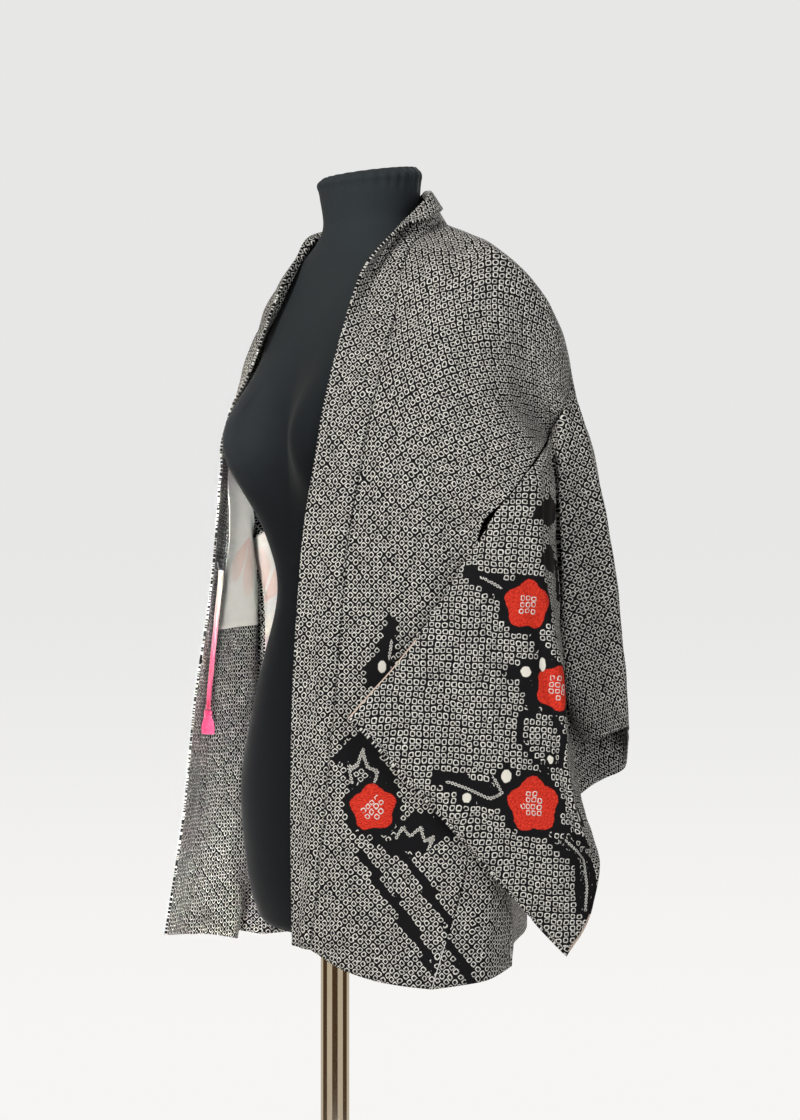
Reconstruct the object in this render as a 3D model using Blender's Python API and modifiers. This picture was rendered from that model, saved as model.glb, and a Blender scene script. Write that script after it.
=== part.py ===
"""Haori jacket worn by a limbless dress form on a pole stand.

Metres, +Z up. The wearer faces -Y, so the wearer's left is +X. The origin is on the
floor, on the axis of the pole. Each cloth panel is a net of points, read as a smooth
surface and thickened into a wall. The seams leave a narrow gap between the walls.
"""
import math
from collections import namedtuple

import bmesh
import bpy
import numpy as np
from mathutils import Vector
from mathutils.bvhtree import BVHTree

# ---------------------------------------------------------------- driving sizes
CLOTH = 0.0022          # wall of the shibori silk with its seam turnings
COLLAR_CLOTH = 0.0030   # the collar is folded from four layers
LINING = 0.0010
SEAM_GAP = 0.0005
LAY_GAP = 0.0004        # between a lining and the panel that it lies on
FORM_GAP = 0.0009     # cloth middle surface to dress form

ARMHOLE_RELIEF = 1.6    # the armhole is gathered, so it needs more
MOST_RELIEF = 3.0       # of half a wall, at the sharpest turns
LINING_SET_BACK = 0.004  # from the seams on either side
LINING_FRONT_FIRST = 8   # body rows from the hem
LINING_FRONT_LAST = 19
LINING_BACK_ROWS = 6     # below the armhole
SETTLE_ROUNDS = 8
LEAST_SLANT = 0.3       # sine of the slant up to which an edge is drawn in further
MOST_OF_A_STEP = 0.6    # an edge never moves further than this share of its first step
BACK_SEAM_CLEAR = 0.004  # how near the other half a body panel may come behind its seam
COLLAR_BULGE = 0.002
GUSSET_BULGE = 0.22     # of its width, at the hem
CORNER_RELIEF = 0.002   # more at the armpits, where three pieces meet
LAYER_GAP = 0.0036      # between the middles of two layers that are sewn or folded together
NECK_AXIS_Y = 0.055
TORSO_Y = 0.045         # middle of the dress form, behind the pole axis
NECK_TOP = 1.497
FORM_BOTTOM = 0.700
POLE_RADIUS = 0.0150
NECK_PLAIN_TOP = 1.460   # above this the neck leans up towards the back
NECK_TILT = 0.15
BASE_RADIUS = 0.165
BASE_THICK = 0.012

CORD_RADIUS = 0.0028

# ------------------------------------------------------------------ dress form
# Half width, and depth in front of and behind the middle plane, at each height.
FormRing = namedtuple("FormRing", "z half_width front back")
FORM_RINGS = [
    FormRing(0.700, 0.142, 0.100, 0.104),
    FormRing(0.712, 0.152, 0.108, 0.114),
    FormRing(0.760, 0.163, 0.119, 0.126),
    FormRing(0.850, 0.167, 0.126, 0.130),
    FormRing(0.950, 0.146, 0.112, 0.112),
    FormRing(1.050, 0.116, 0.092, 0.088),
    FormRing(1.120, 0.122, 0.096, 0.090),
    FormRing(1.220, 0.138, 0.100, 0.098),
    FormRing(1.290, 0.155, 0.090, 0.100),
    FormRing(1.340, 0.170, 0.076, 0.090),
    FormRing(1.375, 0.172, 0.062, 0.078),
    FormRing(1.398, 0.152, 0.054, 0.066),
    FormRing(1.415, 0.110, 0.052, 0.058),
    FormRing(1.432, 0.070, 0.050, 0.054),
    FormRing(1.450, 0.053, 0.049, 0.052),
    FormRing(1.480, 0.056, 0.054, 0.054),
    FormRing(1.490, 0.058, 0.057, 0.055),
    FormRing(1.497, 0.050, 0.051, 0.050),
]
BREAST_X = 0.078
BREAST_Z = 1.214
BREAST_OUT = 0.055
BREAST_SPREAD_X = 0.052
BREAST_SPREAD_Z = 0.074
BREAST_REACH = 1.6      # the swell has its full size from this far round the front
FORM_AROUND = 36
FORM_PARTS = [1, 1, 1, 2, 2, 2, 3, 3, 2, 1, 1, 1, 1, 1, 1, 1, 1]   # of each interval

# ---------------------------------------------------------------- body panels
# Points across a panel, from the collar seam or the centre back to the sleeve
# seam or, below the armhole, to the gusset.
Row = namedtuple("Row", "inner second middle fourth outer")

SHOULDER = Row((0.088, 0.066, 1.438), (0.148, 0.072, 1.420), (0.194, 0.072, 1.400),
               (0.216, 0.113, 1.350), (0.222, 0.143, 1.265))

FRONT_LEFT = [  # shoulder to hem
    SHOULDER,
    Row((0.116, 0.014, 1.385), (0.166, 0.026, 1.374), (0.205, 0.044, 1.345),
        (0.220, 0.088, 1.300), (0.228, 0.124, 1.240)),
    Row((0.139, -0.028, 1.306), (0.184, -0.008, 1.305), (0.216, 0.020, 1.285),
        (0.224, 0.066, 1.255), (0.204, 0.127, 1.216)),
    Row((0.144, -0.050, 1.245), (0.188, -0.024, 1.240), (0.220, 0.006, 1.230),
        (0.240, 0.046, 1.215), (0.252, 0.076, 1.194)),
    Row((0.147, -0.066, 1.180), (0.187, -0.038, 1.176), (0.216, -0.012, 1.176),
        (0.238, 0.018, 1.170), (0.258, 0.037, 1.156)),
    Row((0.146, -0.079, 1.120), (0.182, -0.052, 1.118), (0.208, -0.028, 1.117),
        (0.224, -0.006, 1.116), (0.245, 0.010, 1.117)),
    Row((0.147, -0.087, 1.050), (0.180, -0.060, 1.050), (0.206, -0.034, 1.050),
        (0.221, -0.012, 1.050), (0.234, 0.010, 1.050)),
    Row((0.147, -0.096, 0.950), (0.181, -0.070, 0.945), (0.209, -0.043, 0.942),
        (0.226, -0.018, 0.940), (0.238, 0.004, 0.940)),
    Row((0.141, -0.107, 0.820), (0.178, -0.082, 0.812), (0.207, -0.056, 0.806),
        (0.229, -0.031, 0.802), (0.245, -0.008, 0.800)),
    Row((0.124, -0.111, 0.705), (0.156, -0.098, 0.690), (0.186, -0.080, 0.681),
        (0.212, -0.061, 0.677), (0.233, -0.042, 0.675)),
]

FRONT_RIGHT = [  # shoulder to hem, mirrored to the wearer's left
    SHOULDER,
    Row((0.104, 0.014, 1.392), (0.156, 0.026, 1.378), (0.198, 0.044, 1.347),
        (0.218, 0.088, 1.300), (0.228, 0.130, 1.236)),
    Row((0.122, -0.024, 1.335), (0.166, -0.008, 1.315), (0.198, 0.020, 1.290),
        (0.220, 0.066, 1.255), (0.226, 0.125, 1.205)),
    Row((0.130, -0.044, 1.262), (0.166, -0.020, 1.250), (0.196, 0.008, 1.236),
        (0.222, 0.046, 1.215), (0.238, 0.090, 1.180)),
    Row((0.131, -0.056, 1.188), (0.160, -0.030, 1.182), (0.188, -0.002, 1.180),
        (0.218, 0.024, 1.170), (0.246, 0.050, 1.150)),
    Row((0.126, -0.060, 1.120), (0.152, -0.030, 1.118), (0.177, 0.004, 1.116),
        (0.208, 0.014, 1.116), (0.240, 0.022, 1.117)),
    Row((0.126, -0.067, 1.046), (0.152, -0.034, 1.048), (0.178, 0.010, 1.050),
        (0.208, 0.022, 1.050), (0.234, 0.040, 1.050)),
    Row((0.127, -0.077, 0.940), (0.153, -0.038, 0.940), (0.179, 0.012, 0.938),
        (0.210, 0.022, 0.936), (0.238, 0.042, 0.936)),
    Row((0.130, -0.090, 0.810), (0.154, -0.047, 0.808), (0.177, 0.002, 0.804),
        (0.211, 0.012, 0.800), (0.242, 0.034, 0.798)),
    Row((0.134, -0.104, 0.685), (0.151, -0.062, 0.678), (0.165, -0.022, 0.668),
        (0.206, -0.006, 0.664), (0.243, 0.016, 0.664)),
]

BACK = [  # behind the shoulder to hem
    Row((0.058, 0.104, 1.446), (0.110, 0.116, 1.418), (0.156, 0.126, 1.380),
        (0.195, 0.149, 1.320), (0.216, 0.157, 1.232)),
    Row((0.000, 0.120, 1.444), (0.060, 0.146, 1.408), (0.118, 0.156, 1.352),
        (0.168, 0.162, 1.280), (0.208, 0.157, 1.190)),
    Row((0.000, 0.148, 1.360), (0.060, 0.160, 1.325), (0.120, 0.163, 1.275),
        (0.174, 0.158, 1.215), (0.210, 0.132, 1.150)),
    Row((0.000, 0.160, 1.230), (0.060, 0.168, 1.205), (0.124, 0.166, 1.175),
        (0.182, 0.136, 1.140), (0.240, 0.036, 1.116)),
    Row((0.000, 0.168, 1.040), (0.060, 0.170, 1.040), (0.120, 0.164, 1.040),
        (0.178, 0.132, 1.045), (0.230, 0.047, 1.050)),
    Row((0.000, 0.184, 0.890), (0.055, 0.184, 0.890), (0.112, 0.170, 0.890),
        (0.172, 0.126, 0.892), (0.234, 0.052, 0.890)),
    Row((0.000, 0.202, 0.694), (0.060, 0.205, 0.694), (0.112, 0.168, 0.697),
        (0.172, 0.108, 0.698), (0.236, 0.052, 0.688)),
]
BACK_HEM_RIGHT = Row((0.000, 0.202, 0.694), (0.060, 0.203, 0.690), (0.112, 0.168, 0.682),
                     (0.172, 0.108, 0.668), (0.236, 0.054, 0.656))
ARMPIT_ROW_FRONT = 5    # row of a front table where the sleeve seam ends
ARMPIT_ROW_BACK = 3
NECK_ROWS_BACK = 2      # rows of BACK whose inner point is on the neck seam

# --------------------------------------------------------------------- collar
# Free edge, from the hem up to the centre back. Fold is how far the band has
# turned over outwards, from 0, flat, to 1, folded in half.
CollarRow = namedtuple("CollarRow", "edge fold")
COLLAR_LEFT = [
    CollarRow((0.101, -0.117, 0.707), 0.0),
    CollarRow((0.100, -0.118, 0.830), 0.0),
    CollarRow((0.101, -0.117, 0.951), 0.0),
    CollarRow((0.103, -0.112, 1.050), 0.0),
    CollarRow((0.104, -0.105, 1.125), 0.0),
    CollarRow((0.106, -0.093, 1.195), 0.0),
    CollarRow((0.103, -0.080, 1.251), 0.0),
    CollarRow((0.098, -0.052, 1.323), 0.10),
    CollarRow((0.091, 0.002, 1.407), 0.65),
    CollarRow((0.079, 0.061, 1.467), 0.9),
    CollarRow((0.042, 0.083, 1.478), 1.0),
    CollarRow((0.000, 0.103, 1.480), 1.0),
]
COLLAR_RIGHT = [
    CollarRow((0.099, -0.150, 0.693), 0.0),
    CollarRow((0.093, -0.131, 0.820), 0.0),
    CollarRow((0.090, -0.119, 0.941), 0.0),
    CollarRow((0.085, -0.104, 1.047), 0.0),
    CollarRow((0.084, -0.095, 1.133), 0.0),
    CollarRow((0.087, -0.088, 1.190), 0.0),
    CollarRow((0.088, -0.066, 1.257), 0.0),
    CollarRow((0.073, -0.034, 1.338), 0.10),
    CollarRow((0.062, 0.010, 1.408), 0.50),
    CollarRow((0.068, 0.062, 1.462), 0.9),
    CollarRow((0.042, 0.083, 1.478), 1.0),
    CollarRow((0.000, 0.103, 1.480), 1.0),
]

# -------------------------------------------------------------------- sleeves
# Each row is a line of cloth from the ridge over the upper facet, down into the
# deep fold, out to its crest and on to the bottom edge. w is its share of the
# sleeve's width, from the seam to the cuff.
SleeveRow = namedtuple("SleeveRow", "w ridge lip valley crest front belly low bottom")
SLEEVE_FRONT = [
    SleeveRow(0.00, (0.222, 0.143, 1.265), (0.228, 0.124, 1.240), (0.204, 0.127, 1.216),
              (0.252, 0.076, 1.194), (0.258, 0.037, 1.156), (0.245, 0.010, 1.117),
              (0.225, -0.052, 1.017), (0.190, -0.108, 0.940)),
    SleeveRow(0.07, (0.227, 0.149, 1.239), (0.229, 0.124, 1.227), (0.223, 0.115, 1.201),
              (0.268, 0.072, 1.167), (0.268, 0.042, 1.132), (0.261, 0.012, 1.095),
              (0.239, -0.041, 1.003), (0.201, -0.097, 0.924)),
    SleeveRow(0.23, (0.234, 0.160, 1.187), (0.231, 0.119, 1.172), (0.219, 0.117, 1.141),
              (0.276, 0.069, 1.090), (0.278, 0.043, 1.059), (0.274, 0.020, 1.027),
              (0.256, -0.025, 0.961), (0.220, -0.071, 0.888)),
    SleeveRow(0.35, (0.240, 0.165, 1.144), (0.231, 0.119, 1.130), (0.215, 0.122, 1.090),
              (0.284, 0.070, 1.031), (0.286, 0.048, 1.007), (0.285, 0.028, 0.982),
              (0.268, -0.012, 0.922), (0.234, -0.049, 0.860)),
    SleeveRow(0.51, (0.247, 0.171, 1.090), (0.232, 0.121, 1.075), (0.208, 0.131, 1.026),
              (0.296, 0.073, 0.964), (0.298, 0.055, 0.944), (0.295, 0.040, 0.924),
              (0.281, 0.007, 0.875), (0.251, -0.021, 0.824)),
    SleeveRow(0.62, (0.252, 0.174, 1.050), (0.233, 0.123, 1.035), (0.210, 0.134, 0.982),
              (0.300, 0.073, 0.910), (0.302, 0.059, 0.896), (0.300, 0.047, 0.880),
              (0.289, 0.022, 0.838), (0.262, 0.001, 0.796)),
    SleeveRow(0.74, (0.256, 0.177, 1.009), (0.236, 0.127, 0.993), (0.223, 0.130, 0.941),
              (0.306, 0.078, 0.859), (0.308, 0.068, 0.847), (0.307, 0.058, 0.834),
              (0.297, 0.036, 0.803), (0.274, 0.023, 0.768)),
    SleeveRow(0.85, (0.262, 0.179, 0.973), (0.239, 0.132, 0.955), (0.229, 0.131, 0.915),
              (0.314, 0.089, 0.820), (0.315, 0.081, 0.809), (0.314, 0.072, 0.798),
              (0.305, 0.055, 0.770), (0.284, 0.043, 0.742)),
    SleeveRow(1.00, (0.270, 0.176, 0.922), (0.269, 0.140, 0.912), (0.235, 0.135, 0.896),
              (0.249, 0.129, 0.849), (0.289, 0.116, 0.814), (0.311, 0.103, 0.786),
              (0.311, 0.087, 0.736), (0.299, 0.073, 0.706)),
]
# The hidden layer, at the seam, in the middle and at the cuff. Below its mouth the
# cuff edge is sewn to the front layer.
SleeveBackRow = namedtuple("SleeveBackRow", "w ridge rear rear_low side armpit under low bottom")
SLEEVE_BACK = [
    SleeveBackRow(0.00, (0.222, 0.143, 1.265), (0.216, 0.157, 1.232), (0.208, 0.157, 1.190),
                  (0.210, 0.132, 1.150), (0.240, 0.036, 1.116), (0.250, 0.004, 1.068),
                  (0.228, -0.040, 1.012), (0.190, -0.108, 0.940)),
    SleeveBackRow(0.12, (0.229, 0.152, 1.222), (0.214, 0.178, 1.190), (0.202, 0.176, 1.142),
                  (0.200, 0.140, 1.095), (0.250, 0.044, 1.070), (0.250, 0.010, 1.022),
                  (0.236, -0.024, 0.975), (0.206, -0.089, 0.916)),
    SleeveBackRow(0.50, (0.247, 0.171, 1.093), (0.218, 0.196, 1.065), (0.193, 0.182, 1.015),
                  (0.196, 0.142, 0.970), (0.264, 0.060, 0.930), (0.270, 0.038, 0.898),
                  (0.268, 0.016, 0.868), (0.250, -0.023, 0.827)),
    SleeveBackRow(0.75, (0.256, 0.177, 1.005), (0.232, 0.200, 0.985), (0.212, 0.196, 0.945),
                  (0.207, 0.156, 0.915), (0.256, 0.092, 0.885), (0.279, 0.074, 0.860),
                  (0.288, 0.056, 0.830), (0.276, 0.026, 0.765)),
    SleeveBackRow(1.00, (0.270, 0.176, 0.922), (0.246, 0.196, 0.900), (0.242, 0.195, 0.877),
                  (0.238, 0.166, 0.866), (0.249, 0.129, 0.849), (0.289, 0.116, 0.814),
                  (0.311, 0.103, 0.786), (0.299, 0.073, 0.706)),
]
# How far the corners of the wearer's right sleeve hang from the mirrored left ones.
RIGHT_FURI_CORNER_MOVE = (0.030, 0.088, -0.060)
RIGHT_CUFF_CORNER_MOVE = (0.002, 0.085, -0.050)
RIGHT_VALLEY_MOVE = (0.034, -0.024, 0.0)
RIGHT_LIP_MOVE = (0.012, 0.008, -0.004)
RIGHT_CUFF_TOP_MOVE = (0.000, 0.018, -0.012)
RIGHT_RISE = 0.06       # share of the sleeve's width over which its fold starts to move

# ----------------------------------------------------------------- tie and pole
CORD_ROUTE = [
    (-0.0872, -0.0884, 1.0790),
    (-0.0878, -0.0892, 1.0630),
    (-0.0895, -0.0908, 1.0420),
    (-0.0925, -0.0922, 1.0150),
    (-0.0957, -0.0936, 0.9880),
    (-0.0990, -0.0948, 0.9610),
    (-0.1008, -0.0955, 0.9440),
    (-0.1020, -0.0960, 0.9300),
]
CORD_POINTS = 27
TASSEL_HEAD_RADIUS = 0.0048
TASSEL_LENGTH = 0.022
TASSEL_SPREAD = 0.0075
TASSEL_RINGS = [(6, 0.30), (9, 0.62), (11, 1.0)]    # strands, and how far out they hang
TASSEL_TWIST = 0.35     # radians from one ring of strands to the next
TASSEL_ROOTS = 0.62     # of the head's radius, where the outer strands leave it
TASSEL_ROOT_DROP = 0.75
TASSEL_ROOT_RISE = 0.35
TASSEL_UNEVEN = 0.06
STRAND_ROOT = 0.0008
STRAND_TIP = 0.0006
LOOP_REACH = 0.0032     # half sizes of the loop, out from the collar and upright
LOOP_RISE = 0.0050
LOOP_WIRE = 0.0009
COLLAR_INWARD = (0.65, 0.76, 0.0)


# ================================================================== small tools
def clear_scene():
    for ob in list(bpy.data.objects):
        bpy.data.objects.remove(ob, do_unlink=True)


def collection(name):
    made = bpy.data.collections.new(name)
    bpy.context.scene.collection.children.link(made)
    return made


def material(name, colour, roughness, metallic=0.0):
    mat = bpy.data.materials.new(name)
    mat.use_nodes = True
    shader = mat.node_tree.nodes["Principled BSDF"]
    shader.inputs["Base Color"].default_value = (*colour, 1.0)
    shader.inputs["Roughness"].default_value = roughness
    shader.inputs["Metallic"].default_value = metallic
    return mat


def spline(points, places):
    """Catmull-Rom curve through the points, read at places counted in intervals."""
    points = np.asarray(points, float)
    before = 2 * points[0] - points[1]
    after = 2 * points[-1] - points[-2]
    p = np.concatenate([before[None], points, after[None]])
    places = np.asarray(places, float)
    i = np.clip(places.astype(int), 0, len(points) - 2)
    t = (places - i).reshape(-1, *[1] * (points.ndim - 1))
    a, b, c, d = p[i], p[i + 1], p[i + 2], p[i + 3]
    return 0.5 * (2 * b + (c - a) * t + (2 * a - 5 * b + 4 * c - d) * t**2
                  + (3 * b - a - 3 * c + d) * t**3)


def stations(counts):
    """Places along a spline that split each interval into its count of equal parts."""
    places = [i + k / n for i, n in enumerate(counts) for k in range(n)]
    return places + [len(counts)]


def surface(rows, along, across):
    """Grid of points on the smooth surface through rows of points."""
    net = np.array(rows, float)
    wide = np.swapaxes(spline(np.swapaxes(net, 0, 1), stations(across)), 0, 1)
    return spline(wide, stations(along))


def normals(grid):
    """Unit normals of a grid, from the differences between its neighbours."""
    cross = np.cross(np.gradient(grid, axis=1), np.gradient(grid, axis=0))
    return cross / np.maximum(np.linalg.norm(cross, axis=2, keepdims=True), 1e-9)


def draw_in(grid, axis, end, distance):
    """Moves one edge of a grid back over the cloth, to leave a gap at its seam.

    Where the cloth runs off at a slant, the edge moves further to leave the same gap.
    """
    edge, inner = (0, 1) if end == 0 else (-1, -2)
    lines = np.moveaxis(grid, axis, 0)
    step = lines[inner] - lines[edge]
    length = np.maximum(np.linalg.norm(step, axis=-1, keepdims=True), 1e-9)
    along = np.gradient(lines[edge], axis=0)
    along /= np.maximum(np.linalg.norm(along, axis=-1, keepdims=True), 1e-9)
    slant = np.linalg.norm(np.cross(step / length, along), axis=-1, keepdims=True)
    reach = distance / np.maximum(slant, LEAST_SLANT)
    lines[edge] += step / length * np.minimum(reach, MOST_OF_A_STEP * length)


def seam_relief(away_a, away_b, thickness):
    """How far back two edges stand at each point of a seam, so that their walls clear.

    The sharper the turn from one piece to the other, the more their inner corners need.
    """
    lengths = np.linalg.norm(away_a, axis=-1) * np.linalg.norm(away_b, axis=-1)
    cosine = np.sum(away_a * away_b, axis=-1) / np.maximum(lengths, 1e-12)
    turn = math.pi - np.arccos(np.clip(cosine, -1.0, 1.0))
    relief = SEAM_GAP / 2 + thickness / 2 * np.minimum(np.tan(turn / 2), MOST_RELIEF)
    return relief[:, None]


def cloth_object(name, grid, thickness, mat, home, tube=False):
    """Sheet through a grid, thickened evenly to both sides. A tube closes on itself."""
    rows, columns = grid.shape[:2]
    bm = bmesh.new()
    verts = [[bm.verts.new(p) for p in line] for line in grid]
    for r in range(rows - 1):
        for c in range(columns if tube else columns - 1):
            n = (c + 1) % columns
            bm.faces.new((verts[r][c], verts[r][n], verts[r + 1][n], verts[r + 1][c]))
    return finish_cloth(name, bm, thickness, mat, home)


def finish_cloth(name, bm, thickness, mat, home):
    ob = object_from(name, bm, mat, home)
    solid = ob.modifiers.new("wall", "SOLIDIFY")
    solid.thickness = thickness
    solid.offset = 0.0
    return ob


def object_from(name, bm, mat, home):
    mesh = bpy.data.meshes.new(name)
    bm.to_mesh(mesh)
    bm.free()
    mesh.materials.append(mat)
    mesh.shade_smooth()
    ob = bpy.data.objects.new(name, mesh)
    home.objects.link(ob)
    return ob


# ================================================================== dress form
def form_point(ring, angle):
    """Point of a ring of the torso. Angle 0 is the wearer's left, 270 degrees the front."""
    x = ring.half_width * math.cos(angle)
    depth = ring.back if math.sin(angle) > 0 else ring.front
    y = depth * math.sin(angle)
    if y < 0:
        high = math.exp(-((ring.z - BREAST_Z) / BREAST_SPREAD_Z) ** 2)
        wide = math.exp(-((abs(x) - BREAST_X) / BREAST_SPREAD_X) ** 2)
        y -= BREAST_OUT * high * wide * min(1.0, -math.sin(angle) * BREAST_REACH)
    neck = max(0.0, ring.z - NECK_PLAIN_TOP) / (NECK_TOP - NECK_PLAIN_TOP)
    return (x, TORSO_Y + y, ring.z + NECK_TILT * (y + ring.front) * neck)


def make_form(mat, home):
    sections = np.array([list(ring) for ring in FORM_RINGS])
    rings = [FormRing(*values) for values in spline(sections, stations(FORM_PARTS))]
    angles = [2 * math.pi * k / FORM_AROUND for k in range(FORM_AROUND)]
    bm = bmesh.new()
    loops = [[bm.verts.new(form_point(ring, angle)) for angle in angles] for ring in rings]
    for low, high in zip(loops, loops[1:]):
        for k in range(FORM_AROUND):
            n = (k + 1) % FORM_AROUND
            bm.faces.new((low[k], low[n], high[n], high[k]))
    bm.faces.new(loops[0][::-1])
    bm.faces.new(loops[-1])
    return object_from("form_torso", bm, mat, home)


def form_tree(form):
    mesh = form.data
    corners = [v.co.copy() for v in mesh.vertices]
    return BVHTree.FromPolygons(corners, [list(p.vertices) for p in mesh.polygons])


def push_out(point, tree, clear):
    """Vector that moves a point to the clearance outside the form, or zero."""
    near, outward, _, _ = tree.find_nearest(Vector(point))
    height = (Vector(point) - near).dot(outward)
    return np.array(outward) * max(0.0, clear - height)


QUAD = ((0, 0), (1, 0), (0, 1), (1, 1))
QUAD_SAMPLES = [(a, b) for a in (0.0, 0.5, 1.0) for b in (0.0, 0.5, 1.0)]


def rest_on_form(grid, tree, thickness):
    """Moves each patch of a sheet that is too near the form out of it."""
    clear = thickness / 2 + FORM_GAP
    for _ in range(SETTLE_ROUNDS):
        moves = np.zeros_like(grid)
        for r, c in np.ndindex(grid.shape[0] - 1, grid.shape[1] - 1):
            for a, b in QUAD_SAMPLES:
                weights = ((1 - a) * (1 - b), a * (1 - b), (1 - a) * b, a * b)
                point = sum(w * grid[r + i, c + j] for w, (i, j) in zip(weights, QUAD))
                move = push_out(point, tree, clear)
                for weight, (i, j) in zip(weights, QUAD):
                    corner = (r + i, c + j)
                    if weight > 0 and np.dot(move, move) > np.dot(moves[corner], moves[corner]):
                        moves[corner] = move
        grid += moves
    return grid


def make_stand(mat, home):
    pole_top = FORM_BOTTOM - 0.0003
    pole_low = BASE_THICK + 0.0003
    bm = bmesh.new()
    bmesh.ops.create_cone(bm, cap_ends=True, segments=32, radius1=POLE_RADIUS,
                          radius2=POLE_RADIUS, depth=pole_top - pole_low)
    bmesh.ops.translate(bm, verts=bm.verts, vec=(0, 0, (pole_top + pole_low) / 2))
    pole = object_from("stand_pole", bm, mat, home)
    pole.data.set_sharp_from_angle(angle=math.radians(40))
    bm = bmesh.new()
    bmesh.ops.create_cone(bm, cap_ends=True, segments=64, radius1=BASE_RADIUS,
                          radius2=BASE_RADIUS, depth=BASE_THICK)
    bmesh.ops.translate(bm, verts=bm.verts, vec=(0, 0, BASE_THICK / 2))
    base = object_from("stand_base", bm, mat, home)
    base.data.set_sharp_from_angle(angle=math.radians(40))


# ================================================================== body panels
BELOW_FRONT = 3         # parts of an interval below the armhole, front
BELOW_BACK = 4
ABOVE = 3
ACROSS = 3
BELOW_SLEEVE = 3        # parts of each sleeve interval below the armhole


def body_grid(front, back):
    """Body panel from the front hem over the shoulder to the back hem, wearer's left."""
    rows = [list(row) for row in front[::-1]] + [list(row) for row in back]
    below = len(front) - 1 - ARMPIT_ROW_FRONT
    along = [BELOW_FRONT] * below + [ABOVE] * (ARMPIT_ROW_FRONT + ARMPIT_ROW_BACK + 1)
    along += [BELOW_BACK] * (len(back) - 1 - ARMPIT_ROW_BACK)
    grid = surface(rows, along, [ACROSS] * 4)
    neck = body_marks(front)[2]
    grid[..., 0] = np.maximum(grid[..., 0], 0.0)
    grid[neck:, 0, 0] = 0.0
    grid[neck:, 1:, 0] = np.maximum(grid[neck:, 1:, 0], BACK_SEAM_CLEAR)
    return grid


def body_marks(front):
    """Grid rows of the front armpit, shoulder, neck back and back armpit."""
    armpit = BELOW_FRONT * (len(front) - 1 - ARMPIT_ROW_FRONT)
    shoulder = armpit + ABOVE * ARMPIT_ROW_FRONT
    neck = shoulder + ABOVE * NECK_ROWS_BACK
    back_armpit = shoulder + ABOVE * (ARMPIT_ROW_BACK + 1)
    return armpit, shoulder, neck, back_armpit


def gusset_grid(body, marks):
    """Side gusset between the edges of the front and the back, hem to armpit."""
    front_edge = body[:marks[0] + 1, -1]
    back_edge = body[marks[3]:, -1][::-1]
    middle = 0.5 * (front_edge + back_edge)
    wide = np.linalg.norm(front_edge - back_edge, axis=1, keepdims=True)
    middle[:, 0] += GUSSET_BULGE * wide[:, 0] * np.linspace(1.0, 0.0, len(middle)) ** 2
    return surface(list(zip(front_edge, middle, back_edge)), [1] * marks[0], [2, 2])


# ====================================================================== collar
FLAT_STEP = 0.12        # share of the flat collar's width in each step over its fold line
FLAT_LAST = 0.15        # and in the strip beyond them
ROLL_STEP = 0.0037      # length of those steps where the collar is folded over
FLAP = 0.022            # what hangs down outside the stand behind the neck
ROLL_RATE = 0.8         # how the roll opens as the fold grows


def collar_line(seam, edge, fold):
    """Line across the collar to the height of its edge, flat at fold 0, rolled over at 1."""
    band = edge - seam
    width = np.linalg.norm(band)
    up = band / width
    out = np.array([edge[0], edge[1] - NECK_AXIS_Y, 0.0])
    out -= up * np.dot(out, up)
    out /= np.linalg.norm(out)
    step = FLAT_STEP * width * (1 - fold) + ROLL_STEP * fold
    last = FLAT_LAST * width * (1 - fold) + FLAP * fold
    lengths = np.array([step, step, last])
    turns = math.pi * fold**ROLL_RATE * np.array([1 / 3, 2 / 3, 1.0])
    climb = np.cumsum(lengths * np.cos(turns))[:, None]
    reach = np.cumsum(lengths * np.sin(turns))[:, None]
    top = seam + up * (width - climb.max())
    return [seam, 0.5 * (seam + top) + out * COLLAR_BULGE, top, *(top + up * climb + out * reach)]


def collar_half(pieces, table, front_rows):
    """Half of the collar, hem to centre back, across from the seam to the free edge."""
    body, _, _, marks = pieces
    seam = body[:marks[2] + 1, 0]
    along = [BELOW_FRONT] * (front_rows - 1 - ARMPIT_ROW_FRONT)
    along += [ABOVE] * (ARMPIT_ROW_FRONT + NECK_ROWS_BACK)
    edges = spline([row.edge for row in table], stations(along))
    folds = spline([[row.fold] for row in table], stations(along))[:, 0]
    return np.array([collar_line(*values) for values in zip(seam, edges, np.clip(folds, 0, 1))])


# ===================================================================== sleeves
def weave_rows(table, places):
    """Rows of a sleeve table, read at the asked shares of the sleeve's width."""
    known = np.array([row.w for row in table])
    net = np.array([list(row[1:]) for row in table], float)
    at = np.interp(places, known, np.arange(len(table)))
    return spline(net, at)


ARMPIT_FALL = 0.46      # of the way down the sleeve to where its sewn edge ends
SLEEVE_PLACES = np.linspace(0.0, 1.0, 15) ** 1.15


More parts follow.
